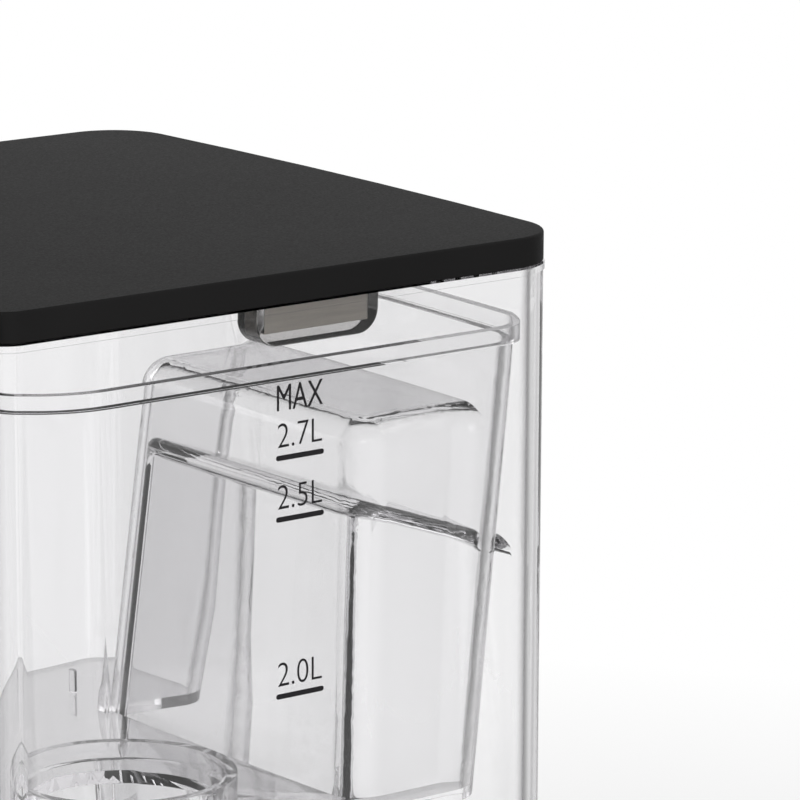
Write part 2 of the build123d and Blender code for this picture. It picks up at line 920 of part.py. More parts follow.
# Drip tray: a tub whose front is the front of the base
tray_top = base_height
tray_half = half_width - wall - tray_gap
tray_back = bay_back - tray_gap
tray_bottom = bay_floor + seat_gap
with BuildPart() as drip_tray:
    with BuildSketch(Plane.XY.offset(tray_bottom)):
        base_plan(0)
        with Locations((0, tray_split - body_gap + machine_depth)):
            Rectangle(machine_width, 2 * machine_depth, mode=Mode.SUBTRACT)
        tray_length = tray_back - tray_split + 2 * tray_gap
        with Locations((0, tray_back - tray_length / 2)):
            Rectangle(2 * tray_half, tray_length)
    extrude(amount=tray_top - tray_bottom)
    grille_half = tray_half - tray_wall
    grille_front = body_front + tray_wall
    grille_back = tray_back - tray_wall
    grille_bottom = tray_top - grille_thickness
    grille_corner = front_radius - tray_wall
    with BuildSketch(Plane.XY.offset(grille_bottom)) as tray_mouth:
        plan(grille_half, grille_front, grille_back, grille_corner, tray_rear_corner)
    extrude(amount=grille_thickness, mode=Mode.SUBTRACT)
    with BuildSketch(Plane.XY.offset(tray_bottom + tray_wall)):
        plan(grille_half - grille_ledge, grille_front + grille_ledge, grille_back - grille_ledge,
             grille_corner - grille_ledge, tray_rear_corner)
    extrude(amount=grille_bottom - tray_bottom - tray_wall, mode=Mode.SUBTRACT)
save(drip_tray.part, "drip_tray")

# Slotted grille on the tray's ledge, with a hole for the float's stem
float_y = grille_front + float_from_front
slot_front = grille_front + grille_front_margin
slot_rear = grille_back - grille_rear_margin
tray_inner_floor = tray_bottom + tray_wall
with BuildPart() as drip_grille:
    with BuildSketch(Plane.XY.offset(grille_bottom + seat_gap)):
        plan(grille_half - body_gap, grille_front + body_gap, grille_back - body_gap,
             grille_corner - body_gap, tray_rear_corner)
        slot_pitch = 2 * (grille_half - grille_margin) / grille_slots
        with Locations((0, (slot_front + slot_rear) / 2)):
            with GridLocations(slot_pitch, 1, grille_slots, 1):
                SlotOverall(slot_rear - slot_front, grille_slot, rotation=90, mode=Mode.SUBTRACT)
        with Locations((0, float_y)):
            Circle(float_radius + body_gap, mode=Mode.SUBTRACT)
    extrude(amount=grille_thickness - seat_gap)
save(drip_grille.part, "drip_grille")

# Float that rises through the grille when the tray is full
with BuildPart() as tray_float:
    float_bottom = tray_inner_floor + seat_gap
    block(
        (-float_size / 2, float_size / 2),
        (float_y - float_size / 2, float_y + float_size / 2),
        (float_bottom, float_bottom + float_height),
    )
    fillet(edges().filter_by(Axis.Z), float_corner)
    rod(0, float_y, (float_bottom, tray_top), float_radius)
    fillet(faces().sort_by(Axis.Z)[-1].edges(), float_top_edge)
save(tray_float.part, "tray_float")

# Water tank: clear shell with a proud lip, and a grip recess pressed in from behind
grip_slope = (grip_ceiling_rear - grip_ceiling_front) / bulge_front_top


def grip_block(inset, rear_inset, drop, edge):
    """The block of the grip recess, its sloping ceiling lowered and its floor raised by drop."""
    with BuildPart() as grip:
        add(bulge_block(bulge_top, grip_bottom - drop, inset, tank_wall_rear, rear_inset))
        depth = grip_ceiling_front + drop
        front = tank_rear - bulge_front_top
        ceiling = Plane(
            origin=(0, front, machine_height - depth), z_dir=(0, grip_slope, 1), x_dir=(1, 0, 0)
        )
        split(bisect_by=ceiling, keep=Keep.BOTTOM)
        fillet(faces().sort_by(Axis.Z)[-1].edges(), edge)
    return grip.part


with BuildPart() as tank_body:
    with BuildSketch(Plane.XY.offset(tank_bottom)):
        tank_plan(tank_wall / 2)
    extrude(amount=tank_top - tank_bottom)
with BuildPart() as tank_shell:
    with BuildSketch(Plane.XY.offset(tank_bottom)):
        tank_plan(0)
    extrude(amount=tank_top - tank_bottom)
    fillet(faces().sort_by(Axis.Z)[0].edges(), 2)
    with BuildSketch(Plane.XY.offset(tank_top - tank_lip_height)):
        tank_plan(-tank_lip_proud)
    extrude(amount=tank_lip_height)
    with BuildSketch(Plane.XY.offset(tank_bottom + tank_floor)):
        tank_plan(tank_wall)
    extrude(amount=tank_top - tank_bottom - tank_floor, mode=Mode.SUBTRACT)
    grip_inset = reservoir_wall + grip_clearance
    add(grip_block(grip_inset, tank_wall, 0, grip_edge) & tank_body.part)
    hollow = grip_block(grip_inset + tank_wall, 0, tank_wall, grip_inner_edge)
    add(hollow, mode=Mode.SUBTRACT)
    rod(dock_x, dock_y, (tank_bottom, tank_bottom + tank_floor), valve_radius + fit_gap,
        Mode.SUBTRACT)
    ledge_top = rim_bottom - seat_gap
    ledge_z = (ledge_top - ledge_height, ledge_top)
    inner_half = half_width - tank_wall
    inner_front = tank_front + tank_wall
    reservoir_side = half_width - reservoir_body_inset + body_gap
    reservoir_face = reservoir_front + reservoir_body_inset - reservoir_rim_inset - body_gap
    block((-inner_half + ledge_end, inner_half - ledge_end),
          (inner_front - tank_wall / 2, reservoir_face), ledge_z)
    block((-inner_half - tank_wall / 2, -reservoir_side),
          (inner_front + ledge_end, tank_rear - ledge_rear_end), ledge_z)
save(tank_shell.part, "tank_shell")

# Inner reservoir: a tapered cup with a rim band, a bulge over the grip and a filter seat
filter_seat_bottom = reservoir_bottom - filter_cup_depth
with BuildPart() as reservoir_cavity:
    for z in (reservoir_floor, rim_bottom):
        with BuildSketch(Plane.XY.offset(z)):
            reservoir_plan(reservoir_body_inset + reservoir_wall, rim_bottom - z)
    loft()
with BuildPart() as bulge_outside:
    add(bulge_block(bulge_top, bulge_floor + 2 * reservoir_wall, 0, reservoir_rear, reservoir_wall))
    fillet(faces().sort_by(Axis.Z)[-1].edges(), bulge_edge)
with BuildPart() as bulge_inside:
    pocket = (bulge_top + reservoir_wall, bulge_floor + 2 * reservoir_wall)
    add(bulge_block(*pocket, reservoir_wall, reservoir_rear, 0))
    fillet(faces().sort_by(Axis.Z)[-1].edges(), bulge_edge - reservoir_wall)
with BuildPart() as inner_reservoir:
    for z in (reservoir_bottom, rim_bottom):
        with BuildSketch(Plane.XY.offset(z)):
            reservoir_plan(reservoir_body_inset, rim_bottom - z)
    loft()
    with BuildSketch(Plane.XY.offset(rim_bottom)):
        reservoir_plan(reservoir_rim_inset, 0)
    extrude(amount=reservoir_rim_height)
    with BuildSketch(Plane.XY.offset(rim_bottom)):
        reservoir_plan(reservoir_rim_inset + reservoir_wall, 0)
    extrude(amount=reservoir_rim_height, mode=Mode.SUBTRACT)
    add(reservoir_cavity.part - bulge_outside.part, mode=Mode.SUBTRACT)
    add(bulge_inside.part, mode=Mode.SUBTRACT)
    cup_wall_radius = filter_cup_radius + filter_step_width
    rod(filter_x, filter_y, (filter_seat_bottom, reservoir_floor), cup_wall_radius)
    collar_top = reservoir_floor + filter_collar_height
    rod(filter_x, filter_y, (reservoir_floor, collar_top), filter_collar_radius)
    rod(filter_x, filter_y, (reservoir_floor + filter_step, collar_top),
        filter_collar_radius - filter_step_width, Mode.SUBTRACT)
    rod(filter_x, filter_y, (filter_seat_bottom + filter_lip, collar_top), filter_cup_radius,
        Mode.SUBTRACT)
    rod(filter_x, filter_y, (filter_seat_bottom, collar_top), filter_body_radius + body_gap,
        Mode.SUBTRACT)
    with BuildSketch(Plane.XY.offset(reservoir_floor)):
        with Locations((nub_x, tank_rear - nub_depth)):
            Ellipse(nub_length / 2, nub_width / 2)
    extrude(amount=nub_height)
save(inner_reservoir.part, "inner_reservoir")

# Filter cartridge that hangs in the seat, its ribs under the flange open to the tank
flange_bottom = filter_seat_bottom + filter_lip + seat_gap
flange_top = flange_bottom + filter_flange_height
cartridge_bottom = flange_bottom - filter_body_height
with BuildPart() as filter_cartridge:
    rod(filter_x, filter_y, (cartridge_bottom, flange_bottom), filter_body_radius)
    fillet(faces().sort_by(Axis.Z)[0].edges(), 2)
    rod(filter_x, filter_y, (flange_bottom, flange_top), filter_cup_radius - body_gap)
    dish = (flange_top - filter_dish, flange_top)
    rod(filter_x, filter_y, dish, filter_cup_radius - filter_dish_rim, Mode.SUBTRACT)
    with Locations((filter_x, filter_y, cartridge_bottom + filter_body_height / 2)):
        with PolarLocations(filter_body_radius, filter_ribs):
            Box(2 * filter_groove_depth, filter_groove,
                filter_body_height - 2 * filter_groove_margin, mode=Mode.SUBTRACT)
    block((filter_x - filter_tab_length / 2, filter_x + filter_tab_length / 2),
          (filter_y - filter_tab_width / 2, filter_y + filter_tab_width / 2),
          (dish[0], flange_top + filter_tab_height))
save(filter_cartridge.part, "filter_cartridge")

# Lid of the tank, shallow from below
with BuildPart() as lid_cover:
    with BuildSketch(Plane.XY.offset(lid_bottom)):
        tank_plan(0)
    extrude(amount=lid_height)
    fillet(faces().sort_by(Axis.Z)[-1].edges(), lid_edge_radius)
    with BuildSketch(Plane.XY.offset(lid_bottom)):
        tank_plan(tank_wall + clip_thickness + 2)
    extrude(amount=lid_hollow, mode=Mode.SUBTRACT)
save(lid_cover.part, "lid_cover")

# Tinted clips that hang from the lid inside the tank walls, each with a magnet in it
clip_y = tank_rear - clip_depth
clip_outer = half_width - tank_wall - body_gap
for side, name in ((-1, "left"), (1, "right")):
    face_x = side * (clip_outer - clip_thickness / 2)
    magnet_thickness = clip_thickness - 2 * clip_skin
    with BuildPart() as lid_clip:
        with BuildSketch(Plane.YZ.offset(face_x)):
            with Locations((clip_y, lid_bottom - clip_drop / 2)):
                Rectangle(clip_length, clip_drop)
            fillet(vertices().group_by(Axis.Y)[0], clip_corner)
        extrude(amount=clip_thickness / 2, both=True)
        block(
            (face_x - magnet_thickness / 2, face_x + magnet_thickness / 2),
            (clip_y - magnet_length / 2, clip_y + magnet_length / 2),
            (lid_bottom - magnet_drop, lid_bottom),
            Mode.SUBTRACT,
        )
    save(lid_clip.part, f"lid_clip_{name}")
    with BuildPart() as magnet:
        block(
            (face_x - magnet_thickness / 2 + fit_gap, face_x + magnet_thickness / 2 - fit_gap),
            (clip_y - magnet_length / 2 + fit_gap, clip_y + magnet_length / 2 - fit_gap),
            (lid_bottom - magnet_drop + fit_gap, lid_bottom),
        )
    save(magnet.part, f"lid_magnet_{name}")

# Valve body in the tank floor: flange, barrel with a seat, and a cage with four windows
groove_z = (dock_bottom + deck_top) / 2 + stop_gap
with BuildPart() as valve_body:
    rod(dock_x, dock_y, (valve_bottom, tank_bottom + tank_floor), valve_radius)
    flange_z = (tank_bottom + tank_floor, tank_bottom + tank_floor + valve_flange_height)
    rod(dock_x, dock_y, flange_z, valve_flange)
    rod(dock_x, dock_y, (flange_z[1], valve_top), valve_radius)
    rod(dock_x, dock_y, (valve_bottom + valve_seat, cage_ceiling), valve_bore, Mode.SUBTRACT)
    rod(dock_x, dock_y, (valve_bottom, valve_bottom + valve_seat), valve_seat_bore, Mode.SUBTRACT)
    rod(dock_x, dock_y, (cage_ceiling, valve_top), stem_radius + slip_gap, Mode.SUBTRACT)
    window_z = (flange_z[1] + cage_ceiling) / 2
    for turn in (0, 90):
        with Locations(Location((dock_x, dock_y, window_z), (0, 0, turn))):
            Box(3 * valve_radius, cage_window, cage_ceiling - flange_z[1] - 2 * cage_margin,
                mode=Mode.SUBTRACT)
    with Locations((dock_x, dock_y, groove_z)):
        Torus(valve_radius + ring_wire - ring_sink, ring_wire + fit_gap, mode=Mode.SUBTRACT)
save(valve_body.part, "valve_body")

# Rubber ring in the barrel's groove, which seals in the dock
with BuildPart() as valve_ring:
    with Locations((dock_x, dock_y, groove_z)):
        Torus(valve_radius + ring_wire - ring_sink, ring_wire)
save(valve_ring.part, "valve_ring")

# Poppet held open by the dock's pin, and its spring
with BuildPart() as valve_poppet:
    rod(dock_x, dock_y, (poppet_bottom, poppet_top), poppet_radius)
    chamfer(faces().sort_by(Axis.Z)[0].edges(), poppet_chamfer)
    rod(dock_x, dock_y, (poppet_top, valve_top + stem_end), stem_radius)
save(valve_poppet.part, "valve_poppet")

with BuildPart() as valve_spring:
    spring_height = cage_ceiling - poppet_top - 2 * spring_wire
    pitch = spring_height / spring_turns
    base = (dock_x, dock_y, poppet_top + spring_wire)
    with BuildLine() as coil:
        Helix(pitch, spring_height, spring_radius, center=base)
    with BuildSketch(Plane(coil.line @ 0, z_dir=coil.line % 0)):
        Circle(spring_wire / 2)
    sweep()
print("valve spring, gap between turns:", round(pitch - spring_wire, 2))
save(valve_spring.part, "valve_spring")

# Dock in the deck: a cup with a pin that opens the valve and a spigot for the hose
with BuildPart() as tank_dock:
    rod(dock_x, dock_y, (dock_bottom, deck_top), dock_radius)
    rod(dock_x, dock_y, (deck_top - dock_wall, deck_top), dock_flange)
    dock_bore = valve_radius + 2 * ring_wire - ring_sink + slip_gap
    rod(dock_x, dock_y, (dock_floor, deck_top), dock_bore, Mode.SUBTRACT)
    rod(dock_x, dock_y, (dock_bottom, poppet_bottom - seat_gap), stem_radius)
    spigot_x = dock_x + dock_spigot_x
    rod(spigot_x, dock_y, (dock_bottom - spigot_length, dock_bottom), hose_radius)
    rod(spigot_x, dock_y, (dock_bottom - spigot_length, dock_floor), hose_bore, Mode.SUBTRACT)
save(tank_dock.part, "tank_dock")

# Pump: motor can and pump head on one axis, with ports to the front and to the side
pump_front = pump_y - pump_head_radius
head_x = (spigot_x - pump_head_length / 2, spigot_x + pump_head_length / 2)
motor_x = (head_x[0] - motor_length, head_x[0])
with BuildPart() as pump_motor:
    rod_x(pump_y, pump_z, motor_x, motor_radius)
    fillet(faces().sort_by(Axis.X)[0].edges(), pump_edge)
    rod_x(pump_y, pump_z, (motor_x[0] - motor_tail, motor_x[0]), motor_radius / 3)
save(pump_motor.part, "pump_motor")

with BuildPart() as pump_head:
    rod_x(pump_y, pump_z, head_x, pump_head_radius)
    fillet(faces().sort_by(Axis.X)[-1].edges(), pump_edge)
    inlet_y = (pump_front - spigot_length, pump_y - pump_head_radius / 2)
    outlet_x = (head_x[1], head_x[1] + spigot_length / 2)
    rod_y(spigot_x, pump_z, inlet_y, hose_radius)
    rod_x(pump_y, pump_z, outlet_x, hose_radius)
    rod_y(spigot_x, pump_z, inlet_y, hose_bore, Mode.SUBTRACT)
    rod_x(pump_y, pump_z, (spigot_x + pump_head_length / 4, outlet_x[1]), hose_bore, Mode.SUBTRACT)
save(pump_head.part, "pump_head")

# Rubber cradles that carry the pump on the base plate
plate_top = foot_height + plate_thickness
with BuildPart() as pump_mounts:
    reach = motor_radius + cradle_wall
    for x in (motor_x[0] + cradle_inset, motor_x[1] - cradle_inset):
        span = (x - cradle_half, x + cradle_half)
        block(span, (pump_y - reach, pump_y + reach), (plate_top, pump_z))
        rod_x(pump_y, pump_z, span, motor_radius + fit_gap, Mode.SUBTRACT)
save(pump_mounts.part, "pump_mounts")

# Heater: an upright steel tube with a spigot at each end
heater_top = heater_bottom + heater_length
with BuildPart() as heater_tube:
    rod(heater_x, heater_y, (heater_bottom, heater_top), heater_radius)
    fillet(faces().filter_by(GeomType.PLANE).edges(), heater_edge)
    ends = (heater_bottom - spigot_length, heater_top + spigot_length)
    rod(heater_x, heater_y, ends, hose_radius)
    rod(heater_x, heater_y, ends, hose_bore, Mode.SUBTRACT)
save(heater_tube.part, "heater_tube")

# Straps that hold the heater to the front wall of the column
column_inside = column_front + wall
with BuildPart() as heater_straps:
    for z in (heater_bottom + strap_inset, heater_top - strap_inset):
        span = (z - strap_height / 2, z + strap_height / 2)
        rod(heater_x, heater_y, span, heater_radius + fit_gap + strap_thickness)
        foot = (heater_x - strap_foot_half, heater_x + strap_foot_half)
        block(foot, (column_inside, heater_y), span)
        rod(heater_x, heater_y, span, heater_radius + fit_gap, Mode.SUBTRACT)
save(heater_straps.part, "heater_straps")

# Safety thermostats on the heater's side
with BuildPart() as thermostats:
    for z in (thermostat_first, thermostat_first + thermostat_pitch):
        reach = (heater_x - heater_radius - thermostat_height,
                 heater_x - heater_radius + thermostat_sink)
        rod_x(heater_y, heater_bottom + z, reach, thermostat_radius)
        rod(heater_x, heater_y, (heater_bottom, heater_top), heater_radius + fit_gap, Mode.SUBTRACT)
save(thermostats.part, "thermostats")

# Temperature probe in the top of the heater
with BuildPart() as temperature_probe:
    probe_x = heater_x + heater_radius / 2
    rod(probe_x, heater_y, (heater_top, heater_top + probe_height), probe_radius)
    rod(probe_x, heater_y, (heater_top, heater_top + probe_collar), 2 * probe_radius)
save(temperature_probe.part, "temperature_probe")

# Hoses: dock to pump, pump to heater, heater to steam separator
spigot_bottom = dock_bottom - spigot_length
save(hose((spigot_x, dock_y, spigot_bottom), (spigot_x, dock_y, pump_z),
          (spigot_x, inlet_y[0], pump_z)), "dock_hose")
save(hose((outlet_x[1], pump_y, pump_z), (heater_x, pump_y, pump_z),
          (heater_x, heater_y, pump_z), (heater_x, heater_y, ends[0])), "feed_hose")
save(hose((heater_x, heater_y, ends[1]), (heater_x, heater_y, separator_inlet_z),
          (0, heater_y, separator_inlet_z), (0, spigot_end, separator_inlet_z)), "outlet_hose")

# Main board on its posts in the column, with its relays, transformer and capacitors
board_face = main_board_x + board_thickness
with BuildPart() as main_board:
    block((main_board_x, board_face), board_y, board_z)
save(main_board.part, "main_board")

with BuildPart() as board_components:
    relay_y = (board_y[0] + relay_inset, board_y[0] + relay_inset + relay_depth)
    transformer_top = board_z[1] - transformer_inset
    transformer_bottom = transformer_top - transformer_length
    transformer_y = (board_y[0] + board_y[1]) / 2
    relay_bottom = board_z[0] + relay_first
    relay_pitch = (transformer_bottom - relay_end_gap - relay_bottom) / relay_rows
    relay_size = relay_pitch - relay_gap
    relay_x = (board_face, board_face + relay_height)
    can_y = board_y[1] - capacitor_inset
    for row in range(relay_rows):
        z = relay_bottom + row * relay_pitch
        block(relay_x, relay_y, (z, z + relay_size))
        can_x = (board_face, board_face + capacitor_height)
        rod_x(can_y, z + relay_size / 2, can_x, capacitor_radius)
    block(
        (board_face, board_face + transformer_height),
        (transformer_y - transformer_width / 2, transformer_y + transformer_width / 2),
        (transformer_bottom, transformer_top),
    )
save(board_components.part, "board_components")

# Power inlet at the rear of the base: a socket with three blades
inlet_rear = rear_apex - inlet_recess
inlet_front = inlet_rear - inlet_depth
socket_front = inlet_rear - socket_depth
with BuildPart() as power_inlet:
    block((-inlet_width / 2, inlet_width / 2), (inlet_front, inlet_rear),
          (inlet_z - inlet_height / 2, inlet_z + inlet_height / 2))
    flange_rear = tank_rear + rear_bow - wall - seat_gap
    flange_half = inlet_width / 2 + inlet_flange_lip
    flange_rise = inlet_height / 2 + inlet_flange_lip
    block(
        (-flange_half, flange_half),
        (flange_rear - inlet_flange, flange_rear),
        (inlet_z - flange_rise, inlet_z + flange_rise),
    )
    with BuildSketch(Plane.XZ.offset(-inlet_rear)):
        with Locations((0, inlet_z)):
            Rectangle(socket_width, socket_height)
        chamfer(vertices().group_by(Axis.Y)[-1], socket_chamfer)
    extrude(amount=socket_depth, mode=Mode.SUBTRACT)
save(power_inlet.part, "power_inlet")

with BuildPart() as inlet_blades:
    for x, z in ((-blade_pitch, -blade_rise), (blade_pitch, -blade_rise), (0, blade_rise)):
        blade_x = (x - blade_thickness / 2, x + blade_thickness / 2)
        blade_z = (inlet_z + z - blade_height / 2, inlet_z + z + blade_height / 2)
        block(blade_x, (socket_front, inlet_rear - blade_recess), blade_z)
        block(blade_x, (inlet_front - blade_tail, inlet_front), blade_z)
save(inlet_blades.part, "inlet_blades")

# Sensor on the inside of the rear panel, which feels that the tank is there
with BuildPart() as tank_sensor:
    sensor_z = (head_bottom - sensor_height) / 2
    block((-sensor_length / 2, sensor_length / 2), (panel_front - sensor_depth, panel_front),
          (sensor_z, sensor_z + sensor_height))
save(tank_sensor.part, "tank_sensor")
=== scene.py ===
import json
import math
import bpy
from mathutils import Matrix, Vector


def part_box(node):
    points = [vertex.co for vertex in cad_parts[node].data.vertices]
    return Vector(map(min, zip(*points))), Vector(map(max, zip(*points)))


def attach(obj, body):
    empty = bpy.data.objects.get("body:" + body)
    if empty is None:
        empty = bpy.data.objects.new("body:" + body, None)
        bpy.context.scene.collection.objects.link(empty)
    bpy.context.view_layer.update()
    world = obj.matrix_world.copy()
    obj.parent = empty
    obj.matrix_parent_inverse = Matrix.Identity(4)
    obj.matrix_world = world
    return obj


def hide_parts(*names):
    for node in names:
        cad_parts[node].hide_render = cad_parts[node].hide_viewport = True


bl_info = {
    "name": "Hot Water Dispenser Looks",
    "version": (1, 0, 0),
    "blender": (4, 5, 0),
    "location": "View3D > Sidebar > Dispenser",
    "description": "Finishes of a hot water dispenser: clear tank, matte body and litre scale",
    "category": "Object",
}

import bmesh
import bpy
from bpy.props import FloatProperty, FloatVectorProperty, IntProperty, PointerProperty
from bpy.types import Operator, Panel, PropertyGroup
from mathutils import Matrix, Vector

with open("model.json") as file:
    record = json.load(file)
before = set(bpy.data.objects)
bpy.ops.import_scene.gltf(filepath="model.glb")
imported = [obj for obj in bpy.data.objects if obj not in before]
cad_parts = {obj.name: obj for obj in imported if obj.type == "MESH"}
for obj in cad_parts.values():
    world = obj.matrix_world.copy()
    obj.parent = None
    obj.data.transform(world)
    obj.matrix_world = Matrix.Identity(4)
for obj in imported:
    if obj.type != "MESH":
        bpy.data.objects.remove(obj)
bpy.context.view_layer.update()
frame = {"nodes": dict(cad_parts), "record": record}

MM = 0.001
NODES = frame["nodes"]
RECORD = frame["record"]
BODY_OF = {node: body for body, nodes in RECORD["behaviour"]["bodies"].items() for node in nodes}
SLOT_OF = {part["node"]: part["material_slot"] for part in RECORD["subparts"]}

lid_low, lid_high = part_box("lid_cover")

MERGE_GAP = 0.002 * MM
FLAT_ANGLE = math.radians(0.5)
SHARP_ANGLE = math.radians(35)
WHITE = (1, 1, 1, 1)
READS_ALONG_SIDE = ((0, 1, 0), (0, 0, 1))
READS_ACROSS_FRONT = ((1, 0, 0), (0, 0, 1))
LITRE_MARKS = {"2.7L": 32.74 * MM, "2.5L": 43.77 * MM, "2.0L": 75.84 * MM}
DIAL_NUMBERS = range(40, 101, 10)
DIAL_MIDDLE = 70
LAMPS = (
    ("key_lamp", (0.9, -1.2, 1.5), 1.2, 11.0),
    ("side_lamp", (-1.5, -0.4, 1.0), 1.4, 6.0),
    ("rear_lamp", (0.3, 1.6, 1.2), 1.2, 6.0),
)


class FinishSettings(PropertyGroup):
    body_black: FloatVectorProperty(
        name="Body black", description="Colour of the matte housing and lid", subtype="COLOR",
        size=3, default=(0.0135, 0.0132, 0.0133), min=0, max=1,
    )
    body_roughness: FloatProperty(
        name="Body roughness", description="Roughness of the matte housing", default=0.6,
        min=0, max=1, subtype="FACTOR",
    )
    clear_tint: FloatVectorProperty(
        name="Clear tint", description="Tint of the clear tank plastic", subtype="COLOR",
        size=3, default=(0.994, 0.993, 0.996), min=0, max=1,
    )
    clear_ior: FloatProperty(
        name="Clear index", description="Index of refraction of the clear plastic", default=1.49,
        min=1, max=2,
    )
    # Painted shade: clear plastic is coloured grey where its surface turns away from the view,
    # standing in for the dark room it refracts there.
    edge_grey: FloatVectorProperty(
        name="Edge grey", description="Tint of clear plastic where it turns away", subtype="COLOR",
        size=3, default=(0.2, 0.19, 0.205), min=0, max=1,
    )
    edge_start: FloatProperty(
        name="Edge start", description="How far clear plastic turns away before it greys",
        default=0.45, min=0, max=1, subtype="FACTOR",
    )
    edge_end: FloatProperty(
        name="Edge end", description="How far clear plastic turns away where it is fully grey",
        default=0.85, min=0, max=1, subtype="FACTOR",
    )
    clear_depth: FloatProperty(
        name="Clear absorption", description="How fast light fades in clear plastic, per metre",
        default=3.0, min=0,
    )
    smoke_depth: FloatProperty(
        name="Smoke absorption", description="How fast light fades in the smoke clips, per metre",
        default=90.0, min=0,
    )
    edge_round: FloatProperty(
        name="Edge rounding", description="Width of the soft edge on moulded pieces",
        default=0.4 * MM, min=0, unit="LENGTH",
    )
    clear_edge_round: FloatProperty(
        name="Clear edge rounding", description="Width of the soft edge on clear and small pieces",
        default=0.3 * MM, min=0, unit="LENGTH",
    )
    lid_edge_round: FloatProperty(
        name="Lid edge rounding", description="Width of the soft edge on the lid",
        default=0.25 * MM, min=0, unit="LENGTH",
    )
    button_edge_round: FloatProperty(
        name="Button edge rounding", description="Width of the soft edge on the knob and buttons",
        default=0.2 * MM, min=0, unit="LENGTH",
    )
    panel_edge_round: FloatProperty(
        name="Panel edge rounding", description="Width of the soft edge on the control panel",
        default=0.15 * MM, min=0, unit="LENGTH",
    )
    edge_segments: IntProperty(
        name="Edge segments", description="Segments across a soft edge", default=2, min=1, max=6,
    )
    glow: FloatProperty(
        name="Display glow", description="Brightness of the display's digits", default=2.5, min=0,
    )


class ScaleSettings(PropertyGroup):
    print_centre: FloatProperty(
        name="Print centre", description="Depth of the scale's middle behind the tank's middle",
        default=-0.2 * MM, unit="LENGTH",
    )
    mark_length: FloatProperty(
        name="Mark length", description="Length of a litre mark", default=10.4 * MM, unit="LENGTH",
    )
    mark_height: FloatProperty(
        name="Mark height", description="Thickness of a litre mark", default=0.95 * MM,
        unit="LENGTH",
    )
    text_length: FloatProperty(
        name="Text length", description="Length of the printed words", default=9.6 * MM,
        unit="LENGTH",
    )
    text_height: FloatProperty(
        name="Text height", description="Height of the printed numbers", default=4.3 * MM,
        unit="LENGTH",
    )
    words_above: FloatProperty(
        name="Words above", description="Height of the printed numbers over their marks",
        default=4.0 * MM, unit="LENGTH",
    )
    number_weight: FloatProperty(
        name="Number weight", description="How much the strokes of the numbers are thickened",
        default=-0.012,
    )
    max_depth: FloatProperty(
        name="Top word depth", description="Depth of the word MAX under the lid's top",
        default=22.0 * MM, unit="LENGTH",
    )
    max_wider: FloatProperty(
        name="Top word wider", description="How much the word MAX is wider than the numbers",
        default=0.4 * MM, unit="LENGTH",
    )
    max_taller: FloatProperty(
        name="Top word taller", description="How much the word MAX is taller than the numbers",
        default=0.3 * MM, unit="LENGTH",
    )
    dial_height: FloatProperty(
        name="Dial numbers", description="Height of the numbers round the knob",
        default=2.0 * MM, unit="LENGTH",
    )
    dial_gap: FloatProperty(
        name="Dial gap", description="Gap between the knob and the middle of its numbers",
        default=2.9 * MM, unit="LENGTH",
    )
    dial_step: FloatProperty(
        name="Dial step", description="Turn of the knob for one degree of water temperature",
        default=math.radians(4), subtype="ANGLE",
    )
    two_digits_wide: FloatProperty(
        name="Two digits", description="Width over height of a number with two digits",
        default=1.5, min=0.1,
    )
    three_digits_wide: FloatProperty(
        name="Three digits", description="Width over height of a number with three digits",
        default=2.1, min=0.1,
    )
    digits_wide: FloatProperty(
        name="Display width", description="Width over height of the display's number",
        default=1.2, min=0.1,
    )
    digit_height: FloatProperty(
        name="Display digits", description="Height of the display's digits", default=11.0 * MM,
        unit="LENGTH",
    )
    pointer_width: FloatProperty(
        name="Pointer width", description="Width of the knob's pointer", default=0.9 * MM,
        unit="LENGTH",
    )
    pointer_depth: FloatProperty(
        name="Pointer depth", description="Thickness of the knob's pointer", default=0.4 * MM,
        unit="LENGTH",
    )
    pointer_length: FloatProperty(
        name="Pointer length", description="Length of the knob's pointer", default=6.8 * MM,
        unit="LENGTH",
    )
    pointer_middle: FloatProperty(
        name="Pointer place", description="How far the pointer is from the knob's middle",
        default=8.5 * MM, unit="LENGTH",
    )
    pointer_edge: FloatProperty(
        name="Pointer edge", description="Bevel on the knob's pointer", default=0.1 * MM,
        unit="LENGTH",
    )
    groove_depth: FloatProperty(
        name="Groove depth", description="Depth of the pointer's groove in the knob's face",
        default=0.5 * MM, unit="LENGTH",
    )
    print_thickness: FloatProperty(
        name="Print thickness", description="Thickness of the printed ink", default=0.05 * MM,
        unit="LENGTH",
    )


